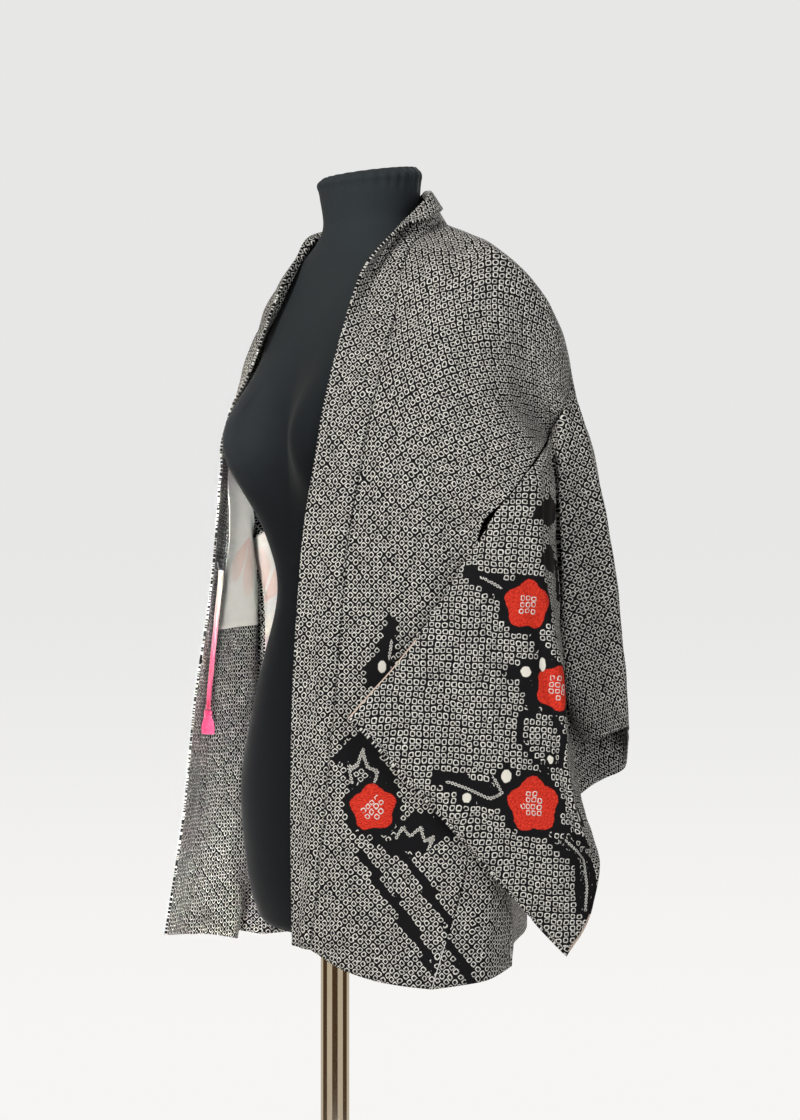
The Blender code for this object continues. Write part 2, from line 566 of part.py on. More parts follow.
def sleeve_grid(body, marks, moved):
    """Sleeve from its front bottom edge up over the ridge and down to its back."""
    front = weave_rows(SLEEVE_FRONT, SLEEVE_PLACES)
    if moved:
        rise = np.minimum(SLEEVE_PLACES / RIGHT_RISE, 1.0)[:, None]
        front[:, SleeveRow._fields.index("valley") - 1] += rise * np.array(RIGHT_VALLEY_MOVE)
        front[:, SleeveRow._fields.index("lip") - 1] += rise * np.array(RIGHT_LIP_MOVE)
    back = weave_rows(SLEEVE_BACK, SLEEVE_PLACES)
    front = np.swapaxes(spline(np.swapaxes(front, 0, 1), stations([ABOVE] * 5 + [BELOW_SLEEVE] * 2)), 0, 1)
    back = np.swapaxes(spline(np.swapaxes(back, 0, 1), stations([ABOVE] * 4 + [BELOW_SLEEVE + 1] * 3)), 0, 1)
    sewn_front = ABOVE * ARMPIT_ROW_FRONT
    sewn_back = ABOVE * (ARMPIT_ROW_BACK + 1)
    front[0, :sewn_front + 1] = body[marks[0]:marks[1] + 1, -1][::-1]
    back[0, :sewn_back + 1] = body[marks[1]:marks[3] + 1, -1]
    joined = BELOW_SLEEVE * 2 + ABOVE * 2 + 1
    back[-1, -joined:] = lay_behind(front[-1, -joined:], back[-2, -joined:])
    back[:, -1] = lay_behind(front[:, -1], back[:, -3])
    if moved:
        top, bottom = front[:, :1, 2].copy(), front[:, -1:, 2].copy()
        front += right_sleeve_move(front, top, bottom)
        back += right_sleeve_move(back, top, bottom)
    fold = 0.5 * (front[:, -1] + back[:, -1])
    away = fold - 0.5 * (front[:, -2] + back[:, -2])
    fold += away / np.linalg.norm(away, axis=1, keepdims=True) * LAYER_GAP / 2
    return np.concatenate([front[:, ::-1], back[:, 1:], fold[:, None]], axis=1)


def lay_behind(edge, behind):
    """Points that follow an edge at the gap of two layers, on the hidden layer's side."""
    step = behind - edge
    return edge + step / np.linalg.norm(step, axis=1, keepdims=True) * LAYER_GAP


def right_sleeve_move(grid, top, bottom):
    """Shift that lets a sleeve hang from its seam, growing to its two lower corners."""
    fall = np.clip((top - grid[..., 2]) / (top - bottom), 0.0, 1.0)[..., None]
    free = np.clip((fall - ARMPIT_FALL) / (1 - ARMPIT_FALL), 0.0, 1.0)
    w = SLEEVE_PLACES[:, None, None]
    low = free * (1 - w) * np.array(RIGHT_FURI_CORNER_MOVE)
    low += fall * w * np.array(RIGHT_CUFF_CORNER_MOVE)
    return low + (1 - fall) * w * np.array(RIGHT_CUFF_TOP_MOVE)


# ============================================================== tie and tassel
def make_cord(mat, home):
    points = spline(CORD_ROUTE, np.linspace(0, len(CORD_ROUTE) - 1, CORD_POINTS))
    curve = bpy.data.curves.new("himo_cord_right", "CURVE")
    curve.dimensions = "3D"
    curve.bevel_depth = CORD_RADIUS
    curve.bevel_resolution = 2
    curve.use_fill_caps = True
    line = curve.splines.new("POLY")
    line.points.add(len(points) - 1)
    for place, point in zip(line.points, points):
        place.co = (*point, 1.0)
    curve.materials.append(mat)
    ob = bpy.data.objects.new("himo_cord_right", curve)
    home.objects.link(ob)


def cone_between(bm, start, end, radius_start, radius_end, sides):
    axis = Vector(end) - Vector(start)
    turn = Vector((0, 0, 1)).rotation_difference(axis)
    made = bmesh.ops.create_cone(bm, cap_ends=True, segments=sides, radius1=radius_start,
                                 radius2=radius_end, depth=axis.length)
    middle = (Vector(start) + Vector(end)) / 2
    for vert in made["verts"]:
        vert.co = turn @ vert.co + middle


def make_tassel(mat, home, cutters):
    top = Vector(CORD_ROUTE[-1]) - Vector((0, 0, 0.0003 + TASSEL_HEAD_RADIUS))
    bm = bmesh.new()
    bmesh.ops.create_uvsphere(bm, u_segments=16, v_segments=10, radius=TASSEL_HEAD_RADIUS)
    bmesh.ops.translate(bm, verts=bm.verts, vec=top)
    head = object_from("himo_tassel_right", bm, mat, home)
    bm = bmesh.new()
    for ring, (count, reach) in enumerate(TASSEL_RINGS):
        for k in range(count):
            angle = 2 * math.pi * k / count + TASSEL_TWIST * ring
            side = Vector((math.cos(angle), math.sin(angle), 0))
            root = top + side * TASSEL_HEAD_RADIUS * TASSEL_ROOTS * reach
            root.z = top.z - TASSEL_HEAD_RADIUS * (TASSEL_ROOT_DROP - TASSEL_ROOT_RISE * reach)
            tip = top + side * TASSEL_SPREAD * reach
            tip.z = top.z - TASSEL_LENGTH * (1.0 - TASSEL_UNEVEN * (k * 7 % 5) / 4)
            cone_between(bm, root, tip, STRAND_ROOT, STRAND_TIP, 3)
    strands = object_from("tassel_strands", bm, mat, cutters)
    strands.hide_render = True
    strands.display_type = "WIRE"
    fuse = head.modifiers.new("roots", "BOOLEAN")
    fuse.operation = "UNION"
    fuse.object = strands
    fuse.solver = "EXACT"
    fuse.use_self = True


def make_loop(mat, home):
    """Tie loop, an upright oval of cord sewn to the inner face of the collar."""
    centre = Vector(CORD_ROUTE[0]) + Vector((0, 0, LOOP_RISE + LOOP_WIRE + 0.0003))
    inward = Vector(COLLAR_INWARD).normalized()
    along = inward.cross(Vector((0, 0, 1)))
    segments, sides = 16, 6
    bm = bmesh.new()
    rings = []
    for s in range(segments):
        a = 2 * math.pi * s / segments
        middle = centre + inward * LOOP_REACH * math.cos(a) + Vector((0, 0, LOOP_RISE * math.sin(a)))
        radial = inward * LOOP_RISE * math.cos(a) + Vector((0, 0, LOOP_REACH * math.sin(a)))
        radial.normalize()
        turns = [2 * math.pi * t / sides for t in range(sides)]
        rings.append([bm.verts.new(middle + (radial * math.cos(b) + along * math.sin(b)) * LOOP_WIRE)
                      for b in turns])
    for s in range(segments):
        for t in range(sides):
            n, m = (s + 1) % segments, (t + 1) % sides
            bm.faces.new((rings[s][t], rings[n][t], rings[n][m], rings[s][m]))
    bmesh.ops.recalc_face_normals(bm, faces=bm.faces)
    return object_from("himo_loop_right", bm, mat, home)


# ==================================================================== assembly
def flip(grid):
    """Mirrors a grid to the wearer's right and keeps its outer face outside."""
    return grid[:, ::-1] * np.array([-1.0, 1.0, 1.0])


def flip_rows(grid):
    """Mirrors the right half of the collar on to the left, hem first."""
    return grid[::-1] * np.array([-1.0, 1.0, 1.0])


def collar_relief(body, marks, half):
    seam = slice(0, marks[2] + 1)
    return seam_relief(body[seam, 2] - body[seam, 1], half[:, 2] - half[:, 1], COLLAR_CLOTH)


def stand_back(body, sleeve, gusset, marks, collar):
    """Draws every sewn edge back over its own cloth, by what its seam's turn needs."""
    armpit, shoulder, neck, back_armpit = marks
    inward = body[:, -2] - body[:, -1]
    ridge = sleeve_columns(shoulder - armpit)
    row = sleeve[1] - sleeve[0]
    outer = np.zeros((len(body), 1))
    front_away = gusset[:, 1] - gusset[:, 0]
    back_away = (gusset[:, -2] - gusset[:, -1])[::-1]
    outer[:armpit + 1] = seam_relief(inward[:armpit + 1], front_away, CLOTH)
    outer[back_armpit:] = seam_relief(inward[back_armpit:], back_away, CLOTH)
    sewn = slice(armpit, back_armpit + 1)
    columns = slice(ridge - (shoulder - armpit), ridge + back_armpit - shoulder + 1)
    round_armhole = ARMHOLE_RELIEF * seam_relief(inward[sewn], row[columns], CLOTH)
    round_armhole[:2] += CORNER_RELIEF
    round_armhole[-2:] += CORNER_RELIEF
    outer[sewn] = np.maximum(outer[sewn], round_armhole)
    inner = np.full((len(body), 1), SEAM_GAP)
    inner[:neck + 1] = collar_relief(body, marks, collar)
    away = body[neck:, 1] - body[neck:, 0]
    inner[neck:] = np.maximum(inner[neck:], seam_relief(away, away * np.array([-1, 1, 1]), CLOTH))
    edge = np.full((sleeve.shape[1], 1), SEAM_GAP / 2)
    edge[columns] = round_armhole
    draw_in(body, 1, 0, inner)
    draw_in(body, 1, -1, outer)
    draw_in(sleeve, 0, 0, edge)
    draw_in(gusset, 1, 0, outer[:armpit + 1])
    draw_in(gusset, 1, -1, outer[back_armpit:][::-1])
    draw_in(gusset, 0, -1, 2 * SEAM_GAP + CLOTH)


def sleeve_columns(sewn_front):
    """Grid column of the sleeve's ridge, counted from the front bottom edge."""
    return 2 * BELOW_SLEEVE + sewn_front


def make_linings(body, marks, mat, home):
    """Lining inside the wearer's right front and back, as far as the opening shows it."""
    inward = -normals(body) * (CLOTH / 2 + LAY_GAP + LINING / 2)
    inside = body + inward
    for name, first, last in (("lining_front_right", LINING_FRONT_FIRST, LINING_FRONT_LAST),
                              ("lining_back_right", marks[3] - 1, marks[3] + LINING_BACK_ROWS)):
        sheet = inside[first:last + 1].copy()
        draw_in(sheet, 1, 0, LINING_SET_BACK)
        draw_in(sheet, 1, -1, LINING_SET_BACK)
        cloth_object(name, flip(sheet), LINING, mat, home)


def main():
    clear_scene()
    home = collection("haori_on_dress_form")
    cutters = collection("cutters")
    cutters.hide_render = True
    silk = material("shibori_silk", (0.16, 0.16, 0.17), 0.75)
    lining = material("lining_silk", (0.72, 0.69, 0.64), 0.45)
    jersey = material("jersey", (0.035, 0.045, 0.05), 0.8)
    chrome = material("chrome", (0.75, 0.75, 0.76), 0.12, 1.0)
    pink = material("himo_silk", (0.76, 0.08, 0.20), 0.6)
    black = material("loop_silk", (0.02, 0.02, 0.02), 0.7)

    form = make_form(jersey, home)
    tree = form_tree(form)
    make_stand(chrome, home)

    sides = {}
    for side, front, moved in (("left", FRONT_LEFT, False), ("right", FRONT_RIGHT, True)):
        back = BACK[:-1] + [BACK_HEM_RIGHT] if moved else BACK
        body = rest_on_form(body_grid(front, back), tree, CLOTH)
        marks = body_marks(front)
        sleeve = sleeve_grid(body, marks, moved)
        gusset = gusset_grid(body, marks)
        sides[side] = (body, sleeve, gusset, marks)

    left = collar_half(sides["left"], COLLAR_LEFT, len(FRONT_LEFT))
    right = collar_half(sides["right"], COLLAR_RIGHT, len(FRONT_RIGHT))
    right = right[::-1] * np.array([-1.0, 1.0, 1.0])
    collar = rest_on_form(np.concatenate([left, right[1:]]), tree, COLLAR_CLOTH)
    halves = {"left": collar[:len(left)], "right": flip_rows(collar[len(left) - 1:])}

    for side, (body, sleeve, gusset, marks) in sides.items():
        stand_back(body, sleeve, gusset, marks, halves[side])
        if side == "right":
            make_linings(body, marks, lining, home)
            body, sleeve, gusset = flip(body), flip(sleeve), flip(gusset)
        cloth_object(f"body_{side}", body, CLOTH, silk, home)
        cloth_object(f"sleeve_{side}", sleeve, CLOTH, silk, home, tube=True)
        cloth_object(f"gusset_{side}", gusset, CLOTH, silk, home)
    reliefs = [collar_relief(sides[side][0], sides[side][3], halves[side]) for side in sides]
    draw_in(collar, 1, 0, np.concatenate([reliefs[0], reliefs[1][::-1][1:]]))
    cloth_object("collar", collar, COLLAR_CLOTH, silk, home)

    make_cord(pink, home)
    make_tassel(pink, home, cutters)
    make_loop(black, home)


main()
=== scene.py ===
# %% [markdown]
# # A haori jacket on its dress form
# The solids that give this jacket its size and place are already made. This file
# dresses them: every panel is made again as thin cloth, with finer folds, and every
# surface gets its dye, weave or polish.
#
# The frame comes in first. Its solids stay where they are, and each new piece rides
# on the same body and stands for the solid that it covers.

import math
from collections import namedtuple

import bmesh
import bpy
import numpy as np
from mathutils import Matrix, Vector
from mathutils.bvhtree import BVHTree


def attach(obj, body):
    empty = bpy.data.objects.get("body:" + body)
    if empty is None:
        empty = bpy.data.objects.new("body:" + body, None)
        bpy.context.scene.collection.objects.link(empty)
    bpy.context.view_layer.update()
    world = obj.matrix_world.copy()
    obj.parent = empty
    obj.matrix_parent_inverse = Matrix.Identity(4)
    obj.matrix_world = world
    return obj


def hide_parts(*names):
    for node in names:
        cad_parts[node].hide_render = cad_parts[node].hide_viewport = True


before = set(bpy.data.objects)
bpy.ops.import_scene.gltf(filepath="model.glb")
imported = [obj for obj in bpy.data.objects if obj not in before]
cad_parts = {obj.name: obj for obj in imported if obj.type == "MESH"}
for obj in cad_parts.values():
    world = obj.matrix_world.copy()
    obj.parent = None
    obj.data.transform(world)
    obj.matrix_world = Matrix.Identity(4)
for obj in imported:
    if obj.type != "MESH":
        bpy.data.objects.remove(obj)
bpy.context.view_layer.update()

# %% [markdown]
# ## The camera
# The viewer stands to the wearer's left and a little in front, level with the chest.
# A camera that isn't tilted keeps the pole upright. The long lens keeps the near sleeve
# from looking larger than the far one.

# %% Camera
camera_data = bpy.data.cameras.new("studio_camera")
camera_data.lens = 72.7
camera_data.sensor_width = 36.0
camera = bpy.data.objects.new("studio_camera", camera_data)
bpy.context.scene.collection.objects.link(camera)
camera.location = (2.005, -1.321, 1.09)
camera.rotation_euler = Vector((-0.819, 0.574, 0.0)).to_track_quat("-Z", "Y").to_euler()
bpy.context.scene.camera = camera
print("camera at", tuple(camera.location), "lens", camera_data.lens)

# %% [markdown]
# ## Smooth lines and sheets
# A tailor's curve runs through a few marked points. A Catmull-Rom spline does the same:
# it passes through every point that it is given. Run across and then along a net of
# points, it gives the smooth surface of a panel. All the cloth here is made this way,
# so a fold is moved by moving one point of a table.

# %% Splines
def in_metres(rows):
    """A table that is written down in millimetres."""
    return np.array(rows) / 1000


def unit(vectors):
    """The same directions, each one long."""
    return vectors / np.maximum(np.linalg.norm(vectors, axis=-1, keepdims=True), 1e-12)


def spline(points, places):
    """Catmull-Rom curve through the points, read at places counted in intervals."""
    points = np.asarray(points, float)
    before = 2 * points[0] - points[1]
    after = 2 * points[-1] - points[-2]
    p = np.concatenate([before[None], points, after[None]])
    places = np.asarray(places, float)
    i = np.clip(places.astype(int), 0, len(points) - 2)
    t = (places - i).reshape(-1, *[1] * (points.ndim - 1))
    a, b, c, d = p[i], p[i + 1], p[i + 2], p[i + 3]
    return 0.5 * (2 * b + (c - a) * t + (2 * a - 5 * b + 4 * c - d) * t**2
                  + (3 * b - a - 3 * c + d) * t**3)


def spline_across(net, places):
    """The same curve, run across every row of a net."""
    return np.swapaxes(spline(np.swapaxes(net, 0, 1), places), 0, 1)


def stations(counts):
    """Places along a spline that split each interval into its count of equal parts."""
    places = [i + k / n for i, n in enumerate(counts) for k in range(n)]
    return places + [len(counts)]


def surface(rows, along, across):
    """Grid of points on the smooth surface through rows of points."""
    return spline(spline_across(np.array(rows, float), stations(across)), stations(along))


def normals(grid):
    """Unit normals of a grid, from the differences between its neighbours."""
    cross = np.cross(np.gradient(grid, axis=1), np.gradient(grid, axis=0))
    return cross / np.maximum(np.linalg.norm(cross, axis=2, keepdims=True), 1e-9)


curve_check = spline([(0, 0, 0), (1, 0, 0), (2, 1, 0)], [0, 0.5, 1, 2])
print("a spline through three points starts", curve_check[:2].tolist())

# %% Meshes from rings and grids
def piece(name, verts, faces, thickness=0.0):
    """New object on the frame's one body, smooth, with an even wall if it is cloth."""
    mesh = bpy.data.meshes.new(name)
    mesh.from_pydata([tuple(v) for v in verts], [], [tuple(f) for f in faces])
    mesh.shade_smooth()
    made = bpy.data.objects.new(name, mesh)
    bpy.context.scene.collection.objects.link(made)
    if thickness:
        wall = made.modifiers.new("wall", "SOLIDIFY")
        wall.thickness = thickness
        wall.offset = 0.0
    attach(made, "root")
    return made


def grid_faces(rows, columns, closed=False):
    """Quads between the points of a grid, which may close on itself across."""
    faces = []
    for r in range(rows - 1):
        for c in range(columns if closed else columns - 1):
            n = (c + 1) % columns
            corners = ((r, c), (r, n), (r + 1, n), (r + 1, c))
            faces.append(tuple(row * columns + column for row, column in corners))
    return faces


def around(count):
    """Equal angles round a full turn."""
    return np.arange(count) * 2 * math.pi / count


def ring_points(side, other, angles):
    """Rings that turn from one direction towards the other, one ring for each pair."""
    return (np.cos(angles)[None, :, None] * side[:, None]
            + np.sin(angles)[None, :, None] * other[:, None])


def tube(path, radii, sides):
    """Rings of points along a path, as a closed grid."""
    path = np.asarray(path, float)
    ahead = unit(np.gradient(path, axis=0))
    side = unit(np.cross(ahead, np.array((1.0, 0.2, 0.0))))
    rings = ring_points(side, np.cross(ahead, side), around(sides))
    return path[:, None] + rings * np.asarray(radii, float)[..., None]


def tube_faces(rings, sides):
    """Faces of a tube with two flat ends."""
    caps = [tuple(range(sides))[::-1], tuple((rings - 1) * sides + k for k in range(sides))]
    return grid_faces(rings, sides, closed=True) + caps

# %% [markdown]
# ## The tie
# A haori is held by a himo, a soft braided tie. The half on the wearer's right hangs
# from a small loop on the inside of the collar. It is dyed from cream through pink to
# crimson, and ends in a tassel. A cord could be a bevelled curve, but a tube of rings
# lets its thickness swell with the braid and taper downwards.

# %% The himo cord
CORD_ROUTE = [
    (-0.0872, -0.0884, 1.0790), (-0.0878, -0.0892, 1.0630), (-0.0895, -0.0908, 1.0420),
    (-0.0925, -0.0922, 1.0150), (-0.0957, -0.0936, 0.9880), (-0.0990, -0.0948, 0.9610),
    (-0.1008, -0.0955, 0.9440), (-0.1020, -0.0960, 0.9300),
]
CORD_RADIUS = 0.0028
CORD_RINGS = 150
CORD_SIDES = 20
BRAID_PITCH = 0.0052
BRAID_SWELL = 0.05
BRAID_MEAN = 0.6        # of the two crossing waves, so that the swell keeps the cord's size
CORD_TAPER = 0.14

cord_path = spline(CORD_ROUTE, np.linspace(0, len(CORD_ROUTE) - 1, CORD_RINGS))
cord_steps = np.linalg.norm(np.diff(cord_path, axis=0), axis=1)
cord_along = np.concatenate([[0.0], np.cumsum(cord_steps)])
cord_length = float(cord_along[-1])
cord_angles = around(CORD_SIDES)
strand_turn = 2 * math.pi * cord_along[:, None] / BRAID_PITCH
braid = np.maximum(np.cos(2 * cord_angles + strand_turn), np.cos(2 * cord_angles - strand_turn))
taper = 1 + CORD_TAPER / 2 - CORD_TAPER * cord_along / cord_length
cord_radii = CORD_RADIUS * taper[:, None] * (1 + BRAID_SWELL * (braid - BRAID_MEAN))
cord_grid = tube(cord_path, cord_radii, CORD_SIDES)
himo_cord = piece("himo_cord", cord_grid.reshape(-1, 3), tube_faces(CORD_RINGS, CORD_SIDES))
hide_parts("himo_cord_right")


def mark(made, name, values):
    """Stores a number or a vector at every point of a piece, for its material to read."""
    values = np.asarray(values, float)
    kind = "FLOAT" if values.ndim == 1 else "FLOAT_VECTOR"
    layer = made.data.attributes.new(name, kind, "POINT")
    layer.data.foreach_set("value" if values.ndim == 1 else "vector", values.ravel())


ring_place = np.repeat(cord_along, CORD_SIDES)
mark(himo_cord, "braid", np.stack([np.tile(cord_angles, CORD_RINGS), ring_place,
                                   ring_place / cord_length], axis=1))
print("himo cord", round(cord_length * 1000), "mm long")

# %% [markdown]
# ## The tassel and its loop
# The braid's threads are bound into a small head, and below it they are cut level and
# hang free. Each strand here is its own thin square tube that leans out a little and
# sags back, so the tassel has a soft and uneven edge.

# %% Tassel
TASSEL_LENGTH = 0.022
TASSEL_SPREAD = 0.0075
TRIM = 0.0016           # how uneven the strands are cut
SCENE_STRANDS = 120
STRAND_SPLINE = 5
STRAND_RADIUS = 0.00042
CONE_TURN = 2.39996     # golden angle, which spreads the strands evenly
HEAD_RINGS = 33
HEAD_SIDES = 24
HEAD_LOW = 0.0048       # how far the head reaches down over the strands
HEAD_PROFILE = [        # radius and height
    (0.0012, 0.0), (0.0034, -0.0006), (0.0046, -0.0024), (0.0047, -0.0046), (0.0040, -0.0062),
    (0.0043, -0.0070), (0.0040, -0.0079), (0.0044, -0.0090), (0.0030, -0.0096)]

tassel_top = np.array(CORD_ROUTE[-1]) - (0, 0, 0.0003)
profile = spline(HEAD_PROFILE, np.linspace(0, len(HEAD_PROFILE) - 1, HEAD_RINGS))
ring_angles = around(HEAD_SIDES)
head_grid = np.stack([profile[:, :1] * np.cos(ring_angles), profile[:, :1] * np.sin(ring_angles),
                      np.broadcast_to(profile[:, 1:], (HEAD_RINGS, HEAD_SIDES))], axis=2)
tubes = [head_grid + tassel_top]
for k in range(SCENE_STRANDS):
    reach = math.sqrt((k + 0.5) / SCENE_STRANDS)
    side = np.array([math.cos(k * CONE_TURN), math.sin(k * CONE_TURN), 0.0])
    drop = TASSEL_LENGTH - TRIM * ((k * 7) % 5) / 4
    spread = TASSEL_SPREAD * reach * (0.86 + 0.14 * math.sin(3.1 * k))
    line = [tassel_top + side * out - (0, 0, down) for out, down in (
        (0.0036 * reach, 0.0066), (0.0040 * reach + 0.2 * spread, 0.0115),
        (0.0040 * reach + 0.5 * spread, 0.0175), (spread, drop + HEAD_LOW))]
    tubes.append(tube(spline(line, np.linspace(0, 3, STRAND_SPLINE)),
                      np.full((STRAND_SPLINE, 1), STRAND_RADIUS), 4))
tassel_faces = []
start = 0
for grid in tubes:
    rings, sides = grid.shape[:2]
    tassel_faces += [tuple(start + i for i in face) for face in tube_faces(rings, sides)]
    start += rings * sides
himo_tassel = piece("himo_tassel", np.concatenate([g.reshape(-1, 3) for g in tubes]), tassel_faces)
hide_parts("himo_tassel_right")
print("tassel of", SCENE_STRANDS, "strands")

# %% Loop
LOOP_REACH = 0.0032     # half sizes of the loop, out from the collar and upright
LOOP_RISE = 0.0050
LOOP_WIRE = 0.0009
LOOP_CLEAR = 0.0003     # between the loop's wire and the cord's end
COLLAR_INWARD = (0.65, 0.76, 0.0)
LOOP_RINGS = 48
LOOP_SIDES = 12

loop_turns = around(LOOP_RINGS)[:, None]
loop_centre = np.array(CORD_ROUTE[0]) + (0, 0, LOOP_RISE + LOOP_WIRE + LOOP_CLEAR)
loop_in = unit(np.array(COLLAR_INWARD))
up = np.array((0.0, 0.0, 1.0))
over, upward = loop_in * np.cos(loop_turns), up * np.sin(loop_turns)
loop_line = loop_centre + over * LOOP_REACH + upward * LOOP_RISE
outward = unit(over * LOOP_RISE + upward * LOOP_REACH)
loop_side = np.broadcast_to(np.cross(loop_in, up), outward.shape)
loop_grid = loop_line[:, None] + LOOP_WIRE * ring_points(outward, loop_side, around(LOOP_SIDES))
loop_faces = grid_faces(LOOP_RINGS + 1, LOOP_SIDES, closed=True)
loop_count = LOOP_RINGS * LOOP_SIDES
himo_loop = piece("himo_loop", loop_grid.reshape(-1, 3),
                  [tuple(corner % loop_count for corner in face) for face in loop_faces])
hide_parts("himo_loop_right")
print("loop", round(2000 * LOOP_RISE), "mm tall")

# %% [markdown]
# ## The dress form
# The form is a padded torso without limbs, covered in dark jersey that is drawn
# together over the neck. It is read from a table of rings: half width, and depth in
# front of and behind the middle plane, at each height. A finer version of the solid
# adds the small pleats of the gathered neck.

# %% Form table
NECK_TOP = 1.497
NECK_PLAIN_TOP = 1.460   # above this the neck leans up towards the back
NECK_TILT = 0.15
TORSO_Y = 0.045         # middle of the dress form, behind the pole axis
FORM_GAP = 0.0009       # from the form to the nearest face of the cloth
FormRing = namedtuple("FormRing", "z half_width front back")
FORM_RINGS = in_metres([
    (700, 142, 100, 104), (712, 152, 108, 114), (760, 163, 119, 126), (850, 167, 126, 130),
    (950, 146, 112, 112), (1050, 116, 92, 88), (1120, 122, 96, 90), (1220, 138, 100, 98),
    (1290, 155, 90, 100), (1340, 170, 76, 90), (1375, 172, 62, 78), (1398, 152, 54, 66),
    (1415, 110, 52, 58), (1432, 70, 50, 54), (1450, 53, 49, 52), (1480, 56, 54, 54),
    (1490, 58, 57, 55), (1497, 50, 51, 50),
])
BREAST_X = 0.078
BREAST_Z = 1.214
BREAST_OUT = 0.055
BREAST_SPREAD_X = 0.052
BREAST_SPREAD_Z = 0.074
BREAST_REACH = 1.6      # the swell has its full size from this far round the front


def form_point(ring, angle):
    """Point of a ring of the torso. Angle 0 is the wearer's left, 270 degrees the front."""
    x = ring.half_width * math.cos(angle)
    depth = ring.back if math.sin(angle) > 0 else ring.front
    y = depth * math.sin(angle)
    if y < 0:
        high = math.exp(-((ring.z - BREAST_Z) / BREAST_SPREAD_Z) ** 2)
        wide = math.exp(-((abs(x) - BREAST_X) / BREAST_SPREAD_X) ** 2)
        y -= BREAST_OUT * high * wide * min(1.0, -math.sin(angle) * BREAST_REACH)
    neck = max(0.0, ring.z - NECK_PLAIN_TOP) / (NECK_TOP - NECK_PLAIN_TOP)
    return (x, TORSO_Y + y, ring.z + NECK_TILT * (y + ring.front) * neck)

# %% Form surface
FINE_AROUND = 144
FINE_PARTS = 10
NECK_PLEATS = 26
PLEAT_DEPTH = 0.0022
PLEATS_FROM = 1.476
GATHER_RINGS = 7
GATHER_SINK = 0.004

form_places = stations([FINE_PARTS] * (len(FORM_RINGS) - 1))
form_rings = [FormRing(*values) for values in spline(FORM_RINGS, form_places)]
form_angles = around(FINE_AROUND)
form_points = np.array([[form_point(ring, a) for a in form_angles] for ring in form_rings])
pleat = np.clip((form_points[..., 2] - PLEATS_FROM) / (NECK_TOP - PLEATS_FROM), 0, 1)
outward = unit((form_points - (0.0, TORSO_Y, 0.0)) * (1, 1, 0))
wave = np.abs(np.sin(form_angles * NECK_PLEATS / 2 + 0.7 * np.sin(3 * form_angles)))
form_points -= outward * (PLEAT_DEPTH * pleat * (1 - wave))[..., None]
rings = list(form_points)
rim = rings[-1]
for k in range(1, GATHER_RINGS):
    share = k / GATHER_RINGS
    ring = rim + (rim.mean(axis=0) - rim) * share
    ring[:, 2] -= (GATHER_SINK * math.sin(math.pi * share / 2)
                   + 0.8 * PLEAT_DEPTH * (1 - wave) * (1 - share) ** 0.5)
    rings.append(ring)
dress_form = piece("dress_form", np.concatenate(rings), tube_faces(len(rings), FINE_AROUND))
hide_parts("form_torso")
print("form", len(dress_form.data.polygons), "faces")

# %% [markdown]
# ## The body panels
# A haori is cut from one narrow bolt of silk. Each body panel is a single length that
# runs from the front hem over the shoulder to the back hem. The tables hold the points
# of such a panel, row by row, as they hang. The panel is then moved clear of the form,
# as real cloth is held off by the body under it.

# %% Sizes shared with the solids
CLOTH = 0.0013
COLLAR_CLOTH = 0.0026
LINING = 0.0007
SEAM_GAP = 0.0005
LAY_GAP = 0.0004        # between a lining and the panel that it lies on
ARMHOLE_RELIEF = 1.6    # the armhole is gathered, so it needs more
MOST_RELIEF = 3.0       # of half a wall, at the sharpest turns
LINING_SET_BACK = 0.004  # from the seams on either side
LINING_FRONT_FIRST = 8   # body rows from the hem
LINING_FRONT_LAST = 19
LINING_BACK_ROWS = 6     # below the armhole
SETTLE_ROUNDS = 8
COLLAR_BULGE = 0.002
GUSSET_BULGE = 0.22     # of its width, at the hem
CORNER_RELIEF = 0.002   # more at the armpits, where three pieces meet
LAYER_GAP = 0.0036      # between the middles of two layers that are sewn or folded together
NECK_AXIS_Y = 0.055
BELOW_FRONT = 3         # parts of an interval below the armhole, front
BELOW_BACK = 4
ABOVE = 3
ACROSS = 3
BELOW_SLEEVE = 3        # parts of each sleeve interval below the armhole
LEAST_SLANT = 0.3       # sine of the slant up to which an edge is drawn in further
MOST_OF_A_STEP = 0.6    # an edge never moves further than this share of its first step
BACK_SEAM_CLEAR = 0.004  # how near the other half a body panel may come behind its seam

# %% Body tables
# Each row runs from the panel's inner edge to its outer one. The numbers are millimetres.
SHOULDER = [(88, 66, 1438), (148, 72, 1420), (194, 72, 1400), (216, 113, 1350), (222, 143, 1265)]
FRONT_LEFT = in_metres([     # shoulder to hem
    SHOULDER,
    [(116, 14, 1385), (166, 26, 1374), (205, 44, 1345), (220, 88, 1300), (228, 124, 1240)],
    [(139, -28, 1306), (184, -8, 1305), (216, 20, 1285), (224, 66, 1255), (204, 127, 1216)],
    [(144, -50, 1245), (188, -24, 1240), (220, 6, 1230), (240, 46, 1215), (252, 76, 1194)],
    [(147, -66, 1180), (187, -38, 1176), (216, -12, 1176), (238, 18, 1170), (258, 37, 1156)],
    [(146, -79, 1120), (182, -52, 1118), (208, -28, 1117), (224, -6, 1116), (245, 10, 1117)],
    [(147, -87, 1050), (180, -60, 1050), (206, -34, 1050), (221, -12, 1050), (234, 10, 1050)],
    [(147, -96, 950), (181, -70, 945), (209, -43, 942), (226, -18, 940), (238, 4, 940)],
    [(141, -107, 820), (178, -82, 812), (207, -56, 806), (229, -31, 802), (245, -8, 800)],
    [(124, -111, 705), (156, -98, 690), (186, -80, 681), (212, -61, 677), (233, -42, 675)],
])
